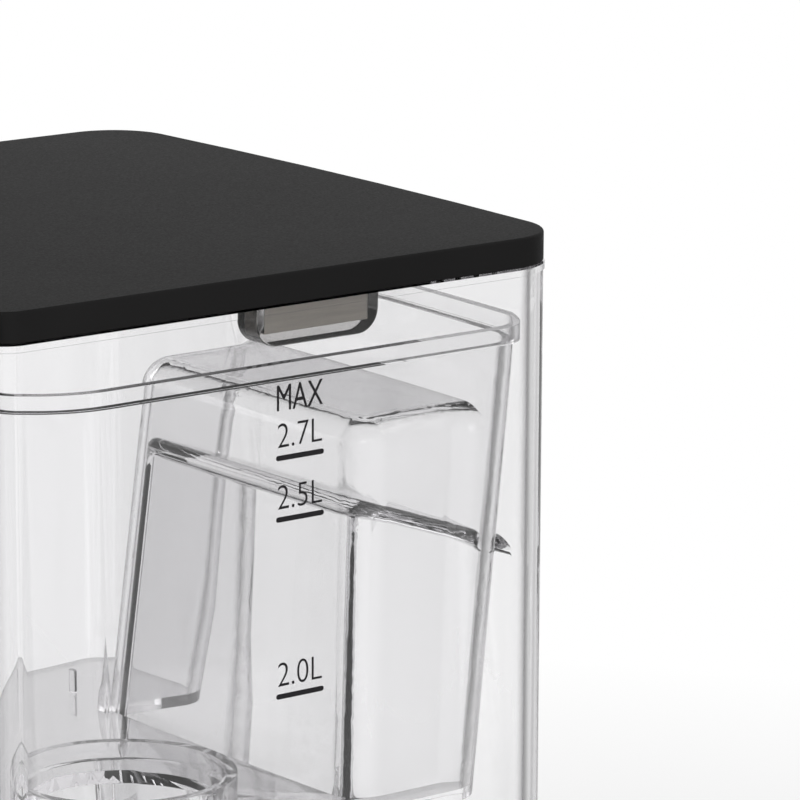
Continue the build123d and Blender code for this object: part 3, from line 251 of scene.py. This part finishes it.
class StageSettings(PropertyGroup):
    lens: FloatProperty(
        name="Lens", description="Focal length of the camera in millimetres", default=230.84,
    )
    camera_place: FloatVectorProperty(
        name="Camera place", description="Where the camera stands", subtype="TRANSLATION",
        size=3, default=(0.76819, -0.43333, 0.46244), unit="LENGTH",
    )
    camera_turn: FloatProperty(
        name="Camera turn", description="How far the camera is turned to the left",
        default=math.radians(52.1536), subtype="ANGLE",
    )
    camera_dip: FloatProperty(
        name="Camera dip", description="How far the camera looks down",
        default=math.radians(12.768), subtype="ANGLE",
    )
    camera_roll: FloatProperty(
        name="Camera roll", description="How far the camera leans", default=math.radians(0.2552),
        subtype="ANGLE",
    )
    aim_height: FloatProperty(
        name="Aim height", description="Height that the lamps shine on", default=0.16,
        unit="LENGTH",
    )
    sensor_width: FloatProperty(
        name="Sensor width", description="Width of the camera's sensor in millimetres",
        default=36.0,
    )
    floor_near: FloatProperty(
        name="Floor near", description="Up to where the floor keeps its shadow", default=0.3,
        unit="LENGTH",
    )
    floor_far: FloatProperty(
        name="Floor far", description="From where the floor is as white as the room",
        default=0.8, unit="LENGTH",
    )
    floor_radius: FloatProperty(
        name="Floor radius", description="Half the width of the pale floor", default=8.0,
        unit="LENGTH",
    )
    shade_start: FloatProperty(
        name="Backdrop edge", description="Where the white backdrop ends, 1 is straight ahead",
        default=0.55, min=0, max=1, subtype="FACTOR",
    )
    shade_end: FloatProperty(
        name="Backdrop middle", description="Where the backdrop is fully white",
        default=0.9, min=0, max=1, subtype="FACTOR",
    )
    behind_wider: FloatProperty(
        name="White behind", description="How much wider the white is behind the camera",
        default=1.8, min=1,
    )
    bounces: IntProperty(
        name="Bounces", description="How often light may pass a clear wall", default=40, min=1,
    )
    glossy_bounces: IntProperty(
        name="Mirror bounces", description="How often light may be mirrored", default=12, min=1,
    )
    shade_grey: FloatProperty(
        name="Dark side", description="Brightness of the room beside the backdrop", default=0.3,
        min=0, max=1, subtype="FACTOR",
    )


def finish_settings():
    return bpy.context.scene.dispenser_finish


def node_material(name):
    """A new material with its shader and its output."""
    material = bpy.data.materials.new(name)
    material.use_nodes = True
    nodes = material.node_tree.nodes
    return material, nodes, material.node_tree.links, nodes["Principled BSDF"]


def noise(nodes, links, scale, detail=3.0, roughness=0.5):
    """Noise on the object's own coordinates."""
    place = nodes.new("ShaderNodeTexCoord")
    texture = nodes.new("ShaderNodeTexNoise")
    texture.inputs["Scale"].default_value = scale
    texture.inputs["Detail"].default_value = detail
    texture.inputs["Roughness"].default_value = roughness
    links.new(place.outputs["Object"], texture.inputs["Vector"])
    return texture


def ramp_between(nodes, links, value, low, high, start=0.3, end=0.7):
    """A colour ramp from low to high, driven by value."""
    ramp = nodes.new("ShaderNodeValToRGB")
    first, last = ramp.color_ramp.elements
    first.position, first.color = start, (*low, 1)
    last.position, last.color = end, (*high, 1)
    links.new(value, ramp.inputs["Fac"])
    return ramp


def spread(nodes, links, value, low, high, start=0.3, end=0.7):
    """Maps a value between start and end onto low to high."""
    remap = nodes.new("ShaderNodeMapRange")
    remap.inputs["From Min"].default_value = start
    remap.inputs["From Max"].default_value = end
    remap.inputs["To Min"].default_value = low
    remap.inputs["To Max"].default_value = high
    links.new(value, remap.inputs["Value"])
    return remap.outputs["Result"]


def stretched_noise(nodes, links, stretch, scale, detail):
    """Noise drawn out into lines: a small number in stretch is the way they run."""
    place = nodes.new("ShaderNodeTexCoord")
    mapping = nodes.new("ShaderNodeMapping")
    mapping.inputs["Scale"].default_value = stretch
    lines = nodes.new("ShaderNodeTexNoise")
    lines.inputs["Scale"].default_value = scale
    lines.inputs["Detail"].default_value = detail
    links.new(place.outputs["Object"], mapping.inputs["Vector"])
    links.new(mapping.outputs["Vector"], lines.inputs["Vector"])
    return lines.outputs["Fac"]


def bump(nodes, links, shader, height, distance, strength=1.0):
    """A bump of a real height in metres."""
    node = nodes.new("ShaderNodeBump")
    node.inputs["Distance"].default_value = distance
    node.inputs["Strength"].default_value = strength
    links.new(height, node.inputs["Height"])
    links.new(node.outputs["Normal"], shader.inputs["Normal"])


def moulded(name, colour, roughness, grain=2200.0, depth=0.02 * MM, specular=0.25, vary=0.08):
    """Moulded plastic: fine grain, slightly uneven colour and roughness."""
    material, nodes, links, shader = node_material(name)
    fine = noise(nodes, links, grain, detail=4.0, roughness=0.6)
    broad = noise(nodes, links, 35.0, detail=2.0)
    low = [c * (1 - vary) for c in colour]
    high = [min(c * (1 + vary), 1) for c in colour]
    tone = ramp_between(nodes, links, broad.outputs["Fac"], low, high)
    links.new(tone.outputs["Color"], shader.inputs["Base Color"])
    rough = spread(nodes, links, fine.outputs["Fac"], roughness * 0.9, min(roughness * 1.1, 1))
    links.new(rough, shader.inputs["Roughness"])
    shader.inputs["Specular IOR Level"].default_value = specular
    if depth:
        bump(nodes, links, shader, fine.outputs["Fac"], depth)
    return material


def clear_plastic(name, tint, density, absorbed, roughness=0.0):
    """Clear moulded plastic with painted shade: its colour greys where it turns away, standing in
    for the dark room it refracts there, and light fades inside it.
    """
    look = finish_settings()
    material, nodes, links, shader = node_material(name)
    shader.inputs["Transmission Weight"].default_value = 1.0
    shader.inputs["IOR"].default_value = look.clear_ior
    # Painted shade: the base colour turns from the tint to grey as the surface turns away from the
    # view.
    turned = nodes.new("ShaderNodeLayerWeight")
    turned.inputs["Blend"].default_value = 0.5
    tone = ramp_between(nodes, links, turned.outputs["Facing"], tint, look.edge_grey,
                        look.edge_start, look.edge_end)
    links.new(tone.outputs["Color"], shader.inputs["Base Color"])
    smear = noise(nodes, links, 9.0, detail=1.0)
    rough = spread(nodes, links, smear.outputs["Fac"], roughness, roughness + 0.006)
    links.new(rough, shader.inputs["Roughness"])
    fade = nodes.new("ShaderNodeVolumeAbsorption")
    fade.inputs["Color"].default_value = (*absorbed, 1)
    fade.inputs["Density"].default_value = density
    links.new(fade.outputs["Volume"], nodes["Material Output"].inputs["Volume"])
    return material


def brushed(name, colour, roughness, stretch=(1, 60, 60), scale=40.0):
    """Metal with fine lines along one axis."""
    material, nodes, links, shader = node_material(name)
    lines = stretched_noise(nodes, links, stretch, scale, detail=5.0)
    low = [c * 0.8 for c in colour]
    high = [min(c * 1.15, 1) for c in colour]
    tone = ramp_between(nodes, links, lines, low, high)
    links.new(tone.outputs["Color"], shader.inputs["Base Color"])
    rough = spread(nodes, links, lines, roughness * 0.8, min(roughness * 1.2, 1))
    links.new(rough, shader.inputs["Roughness"])
    shader.inputs["Metallic"].default_value = 1.0
    bump(nodes, links, shader, lines, 0.01 * MM)
    return material


def streaked(name, dark, light):
    """A satin sheet with long fine streaks along the machine's depth."""
    material, nodes, links, shader = node_material(name)
    lines = stretched_noise(nodes, links, (1, 0.06, 1), 900.0, detail=4.0)
    tone = ramp_between(nodes, links, lines, dark, light)
    links.new(tone.outputs["Color"], shader.inputs["Base Color"])
    rough = spread(nodes, links, lines, 0.35, 0.6)
    links.new(rough, shader.inputs["Roughness"])
    shader.inputs["Metallic"].default_value = 0.2
    return material


def circuit_board(name):
    """Lacquered board with darker tracks."""
    material, nodes, links, shader = node_material(name)
    place = nodes.new("ShaderNodeTexCoord")
    tracks = nodes.new("ShaderNodeTexBrick")
    tracks.inputs["Scale"].default_value = 90.0
    tracks.inputs["Color1"].default_value = (0.012, 0.09, 0.035, 1)
    tracks.inputs["Color2"].default_value = (0.018, 0.13, 0.05, 1)
    tracks.inputs["Mortar"].default_value = (0.05, 0.22, 0.09, 1)
    tracks.inputs["Mortar Size"].default_value = 0.03
    links.new(place.outputs["Object"], tracks.inputs["Vector"])
    links.new(tracks.outputs["Color"], shader.inputs["Base Color"])
    shader.inputs["Roughness"].default_value = 0.3
    return material


def lit_digits(name, colour):
    """Glowing digits of the display, with the grain of their segments."""
    material, nodes, links, shader = node_material(name)
    grain = noise(nodes, links, 3000.0)
    low = [c * 0.85 for c in colour]
    tone = ramp_between(nodes, links, grain.outputs["Fac"], low, colour)
    links.new(tone.outputs["Color"], shader.inputs["Base Color"])
    links.new(tone.outputs["Color"], shader.inputs["Emission Color"])
    shader.inputs["Emission Strength"].default_value = finish_settings().glow
    return material


MATERIALS = {}


def make_materials():
    """One material for each finish of the record."""
    look = finish_settings()
    black = tuple(look.body_black)
    faint_grain = 0.01 * MM
    MATERIALS.update(
        black_plastic=moulded(
            "matte_black_plastic", black, roughness=look.body_roughness, specular=0.05
        ),
        panel_gloss=moulded(
            "panel_gloss", (0.012, 0.012, 0.013), roughness=0.12, grain=400.0, depth=0,
            specular=0.5,
        ),
        button_plastic=moulded("button_plastic", (0.055, 0.055, 0.057), roughness=0.42),
        rubber=moulded(
            "rubber", (0.03, 0.03, 0.03), roughness=0.8, grain=1500.0, depth=0.03 * MM
        ),
        silicone=moulded(
            "silicone", (0.72, 0.72, 0.7), roughness=0.45, grain=900.0, depth=faint_grain
        ),
        steel=brushed("brushed_steel", (0.56, 0.56, 0.57), roughness=0.3),
        motor_metal=brushed(
            "motor_metal", (0.6, 0.6, 0.61), roughness=0.35, stretch=(60, 60, 1)
        ),
        board_green=circuit_board("board_green"),
        component_plastic=moulded("component_plastic", (0.05, 0.05, 0.055), roughness=0.5),
        white_plastic=moulded(
            "white_plastic", (0.8, 0.8, 0.78), roughness=0.35, grain=900.0, depth=faint_grain
        ),
        float_red=moulded(
            "float_red", (0.55, 0.03, 0.02), roughness=0.3, grain=900.0, depth=faint_grain
        ),
        display_glass=clear_plastic(
            "display_glass", (0.4, 0.4, 0.42), density=60.0, absorbed=(0.1, 0.1, 0.12)
        ),
        clear_tank=clear_plastic(
            "clear_tank", look.clear_tint, density=look.clear_depth, absorbed=(0.1, 0.05, 0.12)
        ),
        clear_reservoir=clear_plastic(
            "clear_reservoir", look.clear_tint, density=look.clear_depth,
            absorbed=(0.1, 0.05, 0.12),
        ),
        smoke_plastic=clear_plastic(
            "smoke_plastic", look.clear_tint, density=look.smoke_depth,
            absorbed=(0.1, 0.07, 0.05), roughness=0.08,
        ),
        magnet_metal=streaked(
            "magnet_metal", dark=(0.78, 0.72, 0.64), light=(0.98, 0.92, 0.82)
        ),
        blade_metal=brushed("blade_metal", (0.72, 0.64, 0.42), roughness=0.25),
        ink=moulded(
            "printed_ink", (0.012, 0.011, 0.013), roughness=0.5, grain=1800.0, depth=0
        ),
        panel_print=moulded(
            "panel_print", (0.66, 0.66, 0.65), roughness=0.5, grain=1800.0, depth=0
        ),
        digits=lit_digits("display_digits", (0.75, 0.85, 0.9)),
    )


def dress(node):
    """Gives a node its finish."""
    piece = NODES[node]
    piece.data.materials.clear()
    piece.data.materials.append(MATERIALS[SLOT_OF[node]])


def new_piece(name, shape, body, finish, replaced=(), soft_edge=0.0):
    """Turns a bmesh into a piece that rides on a body and takes a finish."""
    mesh = bpy.data.meshes.new(name)
    shape.to_mesh(mesh)
    shape.free()
    piece = bpy.data.objects.new(name, mesh)
    bpy.context.scene.collection.objects.link(piece)
    mesh.materials.append(MATERIALS[finish])
    mesh.polygons.foreach_set("use_smooth", [True] * len(mesh.polygons))
    mesh.set_sharp_from_angle(angle=SHARP_ANGLE)
    if soft_edge:
        round_over = piece.modifiers.new("soft_edge", "BEVEL")
        round_over.width = soft_edge
        round_over.segments = finish_settings().edge_segments
        round_over.limit_method = "ANGLE"
        round_over.angle_limit = SHARP_ANGLE
        round_over.harden_normals = True
    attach(piece, body)
    if replaced:
        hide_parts(*replaced)
    return piece


def refined(node, soft_edge=None):
    """A merged copy of a node with soft edges, which takes its place."""
    shape = bmesh.new()
    shape.from_mesh(NODES[node].data)
    bmesh.ops.remove_doubles(shape, verts=shape.verts, dist=MERGE_GAP)
    bmesh.ops.dissolve_limit(shape, angle_limit=FLAT_ANGLE, verts=shape.verts, edges=shape.edges)
    width = finish_settings().edge_round if soft_edge is None else soft_edge
    piece = new_piece(f"{node}_skin", shape, BODY_OF[node], SLOT_OF[node], (node,), width)
    return piece


def printed(name, words, centre, size, facing, body, finish, weight=0.0):
    """Words as a thin printed mesh. facing is the way that they read and the way up."""
    across, up = (Vector(axis) for axis in facing)
    curve = bpy.data.curves.new(name, "FONT")
    curve.body = words
    curve.align_x = "CENTER"
    curve.align_y = "CENTER"
    curve.offset = weight
    holder = bpy.data.objects.new(name + "_curve", curve)
    bpy.context.scene.collection.objects.link(holder)
    bpy.context.view_layer.update()
    shaped = holder.evaluated_get(bpy.context.evaluated_depsgraph_get())
    mesh = bpy.data.meshes.new_from_object(shaped)
    bpy.data.objects.remove(holder)
    shape = bmesh.new()
    shape.from_mesh(mesh)
    xs = [v.co.x for v in shape.verts]
    ys = [v.co.y for v in shape.verts]
    wide, tall = max(xs) - min(xs), max(ys) - min(ys)
    middle = Vector(((max(xs) + min(xs)) / 2, (max(ys) + min(ys)) / 2, 0))
    turn = Matrix((across * size[0] / wide, up * size[1] / tall, across.cross(up))).transposed()
    bmesh.ops.translate(shape, vec=-middle, verts=shape.verts)
    bmesh.ops.transform(shape, matrix=turn.to_4x4(), verts=shape.verts)
    bmesh.ops.translate(shape, vec=Vector(centre), verts=shape.verts)
    ink = bmesh.ops.extrude_face_region(shape, geom=shape.faces[:])
    raised = [v for v in ink["geom"] if isinstance(v, bmesh.types.BMVert)]
    lift = across.cross(up) * bpy.context.scene.dispenser_scale.print_thickness
    bmesh.ops.translate(shape, vec=lift, verts=raised)
    bmesh.ops.recalc_face_normals(shape, faces=shape.faces)
    return new_piece(name, shape, body, finish)


class DISPENSER_OT_housing(Operator):
    """Soft edges and finishes on the housing, the head and the base"""

    bl_idname = "dispenser.housing"
    bl_label = "Housing"

    def execute(self, context):
        for node in ("base_housing", "column_shell", "rear_panel", "head_shell", "top_cover"):
            refined(node)
        for node in ("base_plate", "feet", "base_screws", "rear_panel_screws"):
            dress(node)
        return {"FINISHED"}


class DISPENSER_OT_tank(Operator):
    """The clear water tank with its valve"""

    bl_idname = "dispenser.tank"
    bl_label = "Water tank"

    def execute(self, context):
        refined("tank_shell", finish_settings().clear_edge_round)
        for node in ("valve_body", "valve_ring", "valve_spring", "valve_poppet", "tank_dock"):
            dress(node)
        return {"FINISHED"}


class DISPENSER_OT_reservoir(Operator):
    """The clear inner reservoir and its filter cartridge"""

    bl_idname = "dispenser.reservoir"
    bl_label = "Inner reservoir"

    def execute(self, context):
        refined("inner_reservoir", finish_settings().clear_edge_round)
        refined("filter_cartridge")
        return {"FINISHED"}


class DISPENSER_OT_lid(Operator):
    """The flat lid with its tinted clips and magnets"""

    bl_idname = "dispenser.lid"
    bl_label = "Tank lid"

    def execute(self, context):
        look = finish_settings()
        refined("lid_cover", look.lid_edge_round)
        for side in ("left", "right"):
            refined(f"lid_clip_{side}", look.clear_edge_round)
            dress(f"lid_magnet_{side}")
        return {"FINISHED"}


class DISPENSER_OT_litre_scale(Operator):
    """The printed litre scale on the tank's side"""

    bl_idname = "dispenser.litre_scale"
    bl_label = "Litre scale"

    def execute(self, context):
        scale = context.scene.dispenser_scale
        side = lid_high.x
        middle = (lid_low.y + lid_high.y) / 2 + scale.print_centre
        for words, depth in LITRE_MARKS.items():
            z = lid_high.z - depth
            name = "scale_" + words.replace(".", "_").lower()
            printed(name, words, (side, middle, z + scale.words_above),
                    (scale.text_length, scale.text_height), READS_ALONG_SIDE, "tank", "ink",
                    scale.number_weight)
            self.mark(name + "_mark", side, middle, z, scale)
        max_size = (scale.text_length + scale.max_wider, scale.text_height + scale.max_taller)
        printed("scale_max", "MAX", (side, middle, lid_high.z - scale.max_depth), max_size,
                READS_ALONG_SIDE, "tank", "ink")
        return {"FINISHED"}

    def mark(self, name, x, y, z, scale):
        """A bar whose ends are rounded by nearly half its height."""
        shape = bmesh.new()
        bmesh.ops.create_cube(shape, size=1)
        size = (scale.print_thickness, scale.mark_length, scale.mark_height)
        bmesh.ops.scale(shape, vec=size, verts=shape.verts)
        ends = [e for e in shape.edges if abs(e.verts[0].co.x - e.verts[1].co.x) > size[0] / 2]
        bmesh.ops.bevel(shape, geom=ends, offset=scale.mark_height * 0.49, segments=6,
                        profile=0.5, affect="EDGES", material=-1)
        bmesh.ops.translate(shape, vec=(x + size[0] / 2, y, z), verts=shape.verts)
        new_piece(name, shape, "tank", "ink")


class DISPENSER_OT_controls(Operator):
    """The control panel with its knob, buttons, display and printed numbers"""

    bl_idname = "dispenser.controls"
    bl_label = "Controls"

    def execute(self, context):
        scale = context.scene.dispenser_scale
        look = finish_settings()
        refined("control_panel", look.panel_edge_round)
        for node in ("selector_knob", "dispense_button", "lock_button"):
            refined(node, look.button_edge_round)
        for node in ("display_window", "display_module", "control_board", "encoder",
                     "encoder_shaft", "button_switches"):
            dress(node)
        low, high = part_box("selector_knob")
        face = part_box("control_panel")[0].y
        middle_z = (low.z + high.z) / 2
        ring = (high.x - low.x) / 2 + scale.dial_gap
        for number in DIAL_NUMBERS:
            turn = (number - DIAL_MIDDLE) * scale.dial_step
            centre = (ring * math.sin(turn), face, middle_z + ring * math.cos(turn))
            wide = scale.two_digits_wide if number < 100 else scale.three_digits_wide
            printed(f"dial_{number}", str(number), centre,
                    (scale.dial_height * wide, scale.dial_height), READS_ACROSS_FRONT,
                    "housing", "panel_print")
        shown_low, shown_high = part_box("display_module")
        display_middle = ((shown_low.x + shown_high.x) / 2, shown_low.y, middle_z)
        printed("display_number", "80", display_middle,
                (scale.digit_height * scale.digits_wide, scale.digit_height),
                READS_ACROSS_FRONT, "housing", "digits")
        self.pointer(scale, low, middle_z)
        return {"FINISHED"}

    def pointer(self, scale, low, middle_z):
        """The light line in the knob's pointer groove."""
        shape = bmesh.new()
        bmesh.ops.create_cube(shape, size=1)
        size = (scale.pointer_width, scale.pointer_depth, scale.pointer_length)
        bmesh.ops.scale(shape, vec=size, verts=shape.verts)
        bmesh.ops.bevel(shape, geom=shape.edges[:], offset=scale.pointer_edge, segments=2,
                        profile=0.5, affect="EDGES", material=-1)
        inwards = low.y + scale.groove_depth - size[1] / 2
        place = (0, inwards, middle_z + scale.pointer_middle)
        bmesh.ops.translate(shape, vec=place, verts=shape.verts)
        new_piece("knob_pointer", shape, "knob", "panel_print")


class DISPENSER_OT_outlet(Operator):
    """The outlet nozzle and the drip tray"""

    bl_idname = "dispenser.outlet"
    bl_label = "Outlet and tray"

    def execute(self, context):
        for node in ("outlet_nozzle", "nozzle_tip", "drip_tray", "drip_grille", "tray_float"):
            refined(node, finish_settings().clear_edge_round)
        return {"FINISHED"}


class DISPENSER_OT_inside(Operator):
    """Finishes on what lies inside the housing"""

    bl_idname = "dispenser.inside"
    bl_label = "Inside"

    def execute(self, context):
        for node in ("steam_separator", "pump_motor", "pump_head", "pump_mounts", "heater_tube",
                     "heater_straps", "thermostats", "temperature_probe", "dock_hose",
                     "feed_hose", "outlet_hose", "main_board", "board_components",
                     "power_inlet", "inlet_blades", "tank_sensor"):
            dress(node)
        return {"FINISHED"}


def backdrop_level(nodes, links, direction, stage):
    """White where the camera looks, and for light from the backdrop ahead and from behind."""
    facing = nodes.new("ShaderNodeVectorMath")
    facing.operation = "DOT_PRODUCT"
    away = (-math.sin(stage.camera_turn), math.cos(stage.camera_turn), 0)
    facing.inputs[1].default_value = away
    links.new(direction, facing.inputs[0])
    behind = nodes.new("ShaderNodeMath")
    behind.operation = "MULTIPLY"
    behind.inputs[1].default_value = -stage.behind_wider
    links.new(facing.outputs["Value"], behind.inputs[0])
    either_way = nodes.new("ShaderNodeMath")
    either_way.operation = "MAXIMUM"
    links.new(facing.outputs["Value"], either_way.inputs[0])
    links.new(behind.outputs["Value"], either_way.inputs[1])
    shade = nodes.new("ShaderNodeMapRange")
    shade.interpolation_type = "SMOOTHSTEP"
    shade.inputs["From Min"].default_value = stage.shade_start
    shade.inputs["From Max"].default_value = stage.shade_end
    shade.inputs["To Min"].default_value = stage.shade_grey
    shade.inputs["To Max"].default_value = 1.0
    links.new(either_way.outputs["Value"], shade.inputs["Value"])
    path = nodes.new("ShaderNodeLightPath")
    seen = nodes.new("ShaderNodeMath")
    seen.operation = "MAXIMUM"
    links.new(path.outputs["Is Camera Ray"], seen.inputs[0])
    links.new(shade.outputs["Result"], seen.inputs[1])
    return seen.outputs["Value"]


class DISPENSER_OT_stage(Operator):
    """Camera, soft light, pale floor and white room"""

    bl_idname = "dispenser.stage"
    bl_label = "Stage"

    def execute(self, context):
        stage = context.scene.dispenser_stage
        self.camera(context, stage)
        self.floor(stage)
        self.lamps(stage)
        self.room(context, stage)
        context.scene.view_settings.view_transform = "Standard"
        cycles = context.scene.cycles
        cycles.max_bounces = stage.bounces
        cycles.transmission_bounces = stage.bounces
        cycles.glossy_bounces = stage.glossy_bounces
        cycles.transparent_max_bounces = stage.bounces
        return {"FINISHED"}

    def camera(self, context, stage):
        """The photograph's view, from the right and slightly above."""
        data = bpy.data.cameras.new("camera")
        data.lens = stage.lens
        data.sensor_width = stage.sensor_width
        data.clip_end = 50.0
        turn, dip, roll = stage.camera_turn, stage.camera_dip, stage.camera_roll
        ahead = Vector((-math.sin(turn) * math.cos(dip), math.cos(turn) * math.cos(dip),
                        -math.sin(dip)))
        right = Vector((math.cos(turn), math.sin(turn), 0))
        up = right.cross(ahead)
        leaned_right = right * math.cos(roll) + up * math.sin(roll)
        leaned_up = up * math.cos(roll) - right * math.sin(roll)
        place = Matrix((leaned_right, leaned_up, -ahead)).transposed().to_4x4()
        place.translation = Vector(stage.camera_place)
        camera = bpy.data.objects.new("camera", data)
        camera.matrix_world = place
        context.scene.collection.objects.link(camera)
        context.scene.camera = camera

    def floor(self, stage):
        """A pale floor that keeps the shadow near the object and is white further off."""
        shape = bmesh.new()
        bmesh.ops.create_grid(shape, x_segments=1, y_segments=1, size=stage.floor_radius)
        mesh = bpy.data.meshes.new("floor")
        shape.to_mesh(mesh)
        shape.free()
        floor = bpy.data.objects.new("floor", mesh)
        bpy.context.scene.collection.objects.link(floor)
        material, nodes, links, shader = node_material("pale_floor")
        shader.inputs["Base Color"].default_value = (0.86, 0.86, 0.86, 1)
        shader.inputs["Roughness"].default_value = 0.7
        place = nodes.new("ShaderNodeTexCoord")
        distance = nodes.new("ShaderNodeVectorMath")
        distance.operation = "LENGTH"
        links.new(place.outputs["Object"], distance.inputs[0])
        far = nodes.new("ShaderNodeMapRange")
        far.inputs["From Min"].default_value = stage.floor_near
        far.inputs["From Max"].default_value = stage.floor_far
        links.new(distance.outputs["Value"], far.inputs["Value"])
        white = nodes.new("ShaderNodeEmission")
        sideways = nodes.new("ShaderNodeVectorMath")
        sideways.operation = "NORMALIZE"
        links.new(place.outputs["Object"], sideways.inputs[0])
        level = backdrop_level(nodes, links, sideways.outputs["Vector"], stage)
        links.new(level, white.inputs["Strength"])
        blend = nodes.new("ShaderNodeMixShader")
        links.new(far.outputs["Result"], blend.inputs["Fac"])
        links.new(shader.outputs["BSDF"], blend.inputs[1])
        links.new(white.outputs["Emission"], blend.inputs[2])
        output = nodes["Material Output"]
        links.new(blend.outputs["Shader"], output.inputs["Surface"])
        mesh.materials.append(material)

    def lamps(self, stage):
        """Three large soft lamps that shine on the middle of the machine."""
        middle = Vector((0, 0, stage.aim_height))
        for name, place, size, power in LAMPS:
            data = bpy.data.lights.new(name, "AREA")
            data.size = size
            data.energy = power
            lamp = bpy.data.objects.new(name, data)
            lamp.location = place
            lamp.rotation_euler = (Vector(place) - middle).to_track_quat("Z", "Y").to_euler()
            bpy.context.scene.collection.objects.link(lamp)

    def room(self, context, stage):
        """A room that is white before and behind the object and grey at its sides."""
        world = bpy.data.worlds.new("room")
        context.scene.world = world
        world.use_nodes = True
        nodes, links = world.node_tree.nodes, world.node_tree.links
        background = nodes["Background"]
        place = nodes.new("ShaderNodeTexCoord")
        level = backdrop_level(nodes, links, place.outputs["Generated"], stage)
        links.new(level, background.inputs["Strength"])
        background.inputs["Color"].default_value = WHITE


STEPS = (
    DISPENSER_OT_housing,
    DISPENSER_OT_tank,
    DISPENSER_OT_reservoir,
    DISPENSER_OT_lid,
    DISPENSER_OT_litre_scale,
    DISPENSER_OT_controls,
    DISPENSER_OT_outlet,
    DISPENSER_OT_inside,
    DISPENSER_OT_stage,
)
SETTINGS = (FinishSettings, ScaleSettings, StageSettings)


class DISPENSER_PT_sidebar(Panel):
    """Lists the pieces of the dispenser and their settings"""

    bl_idname = "DISPENSER_PT_sidebar"
    bl_label = "Hot water dispenser"
    bl_space_type = "VIEW_3D"
    bl_region_type = "UI"
    bl_category = "Dispenser"

    def draw(self, context):
        column = self.layout.column()
        for step in STEPS:
            column.operator(step.bl_idname)
        for group in ("dispenser_finish", "dispenser_scale", "dispenser_stage"):
            settings = getattr(context.scene, group)
            for name in settings.bl_rna.properties.keys():
                if name not in ("rna_type", "name"):
                    column.prop(settings, name)


def register():
    for kind in (*SETTINGS, *STEPS, DISPENSER_PT_sidebar):
        bpy.utils.register_class(kind)
    bpy.types.Scene.dispenser_finish = PointerProperty(type=FinishSettings)
    bpy.types.Scene.dispenser_scale = PointerProperty(type=ScaleSettings)
    bpy.types.Scene.dispenser_stage = PointerProperty(type=StageSettings)


def unregister():
    del bpy.types.Scene.dispenser_stage
    del bpy.types.Scene.dispenser_scale
    del bpy.types.Scene.dispenser_finish
    for kind in reversed((*SETTINGS, *STEPS, DISPENSER_PT_sidebar)):
        bpy.utils.unregister_class(kind)


def main():
    register()
    make_materials()
    bpy.ops.dispenser.housing()
    bpy.ops.dispenser.tank()
    bpy.ops.dispenser.reservoir()
    bpy.ops.dispenser.lid()
    bpy.ops.dispenser.litre_scale()
    bpy.ops.dispenser.controls()
    bpy.ops.dispenser.outlet()
    bpy.ops.dispenser.inside()
    bpy.ops.dispenser.stage()


if __name__ == "__main__":
    main()
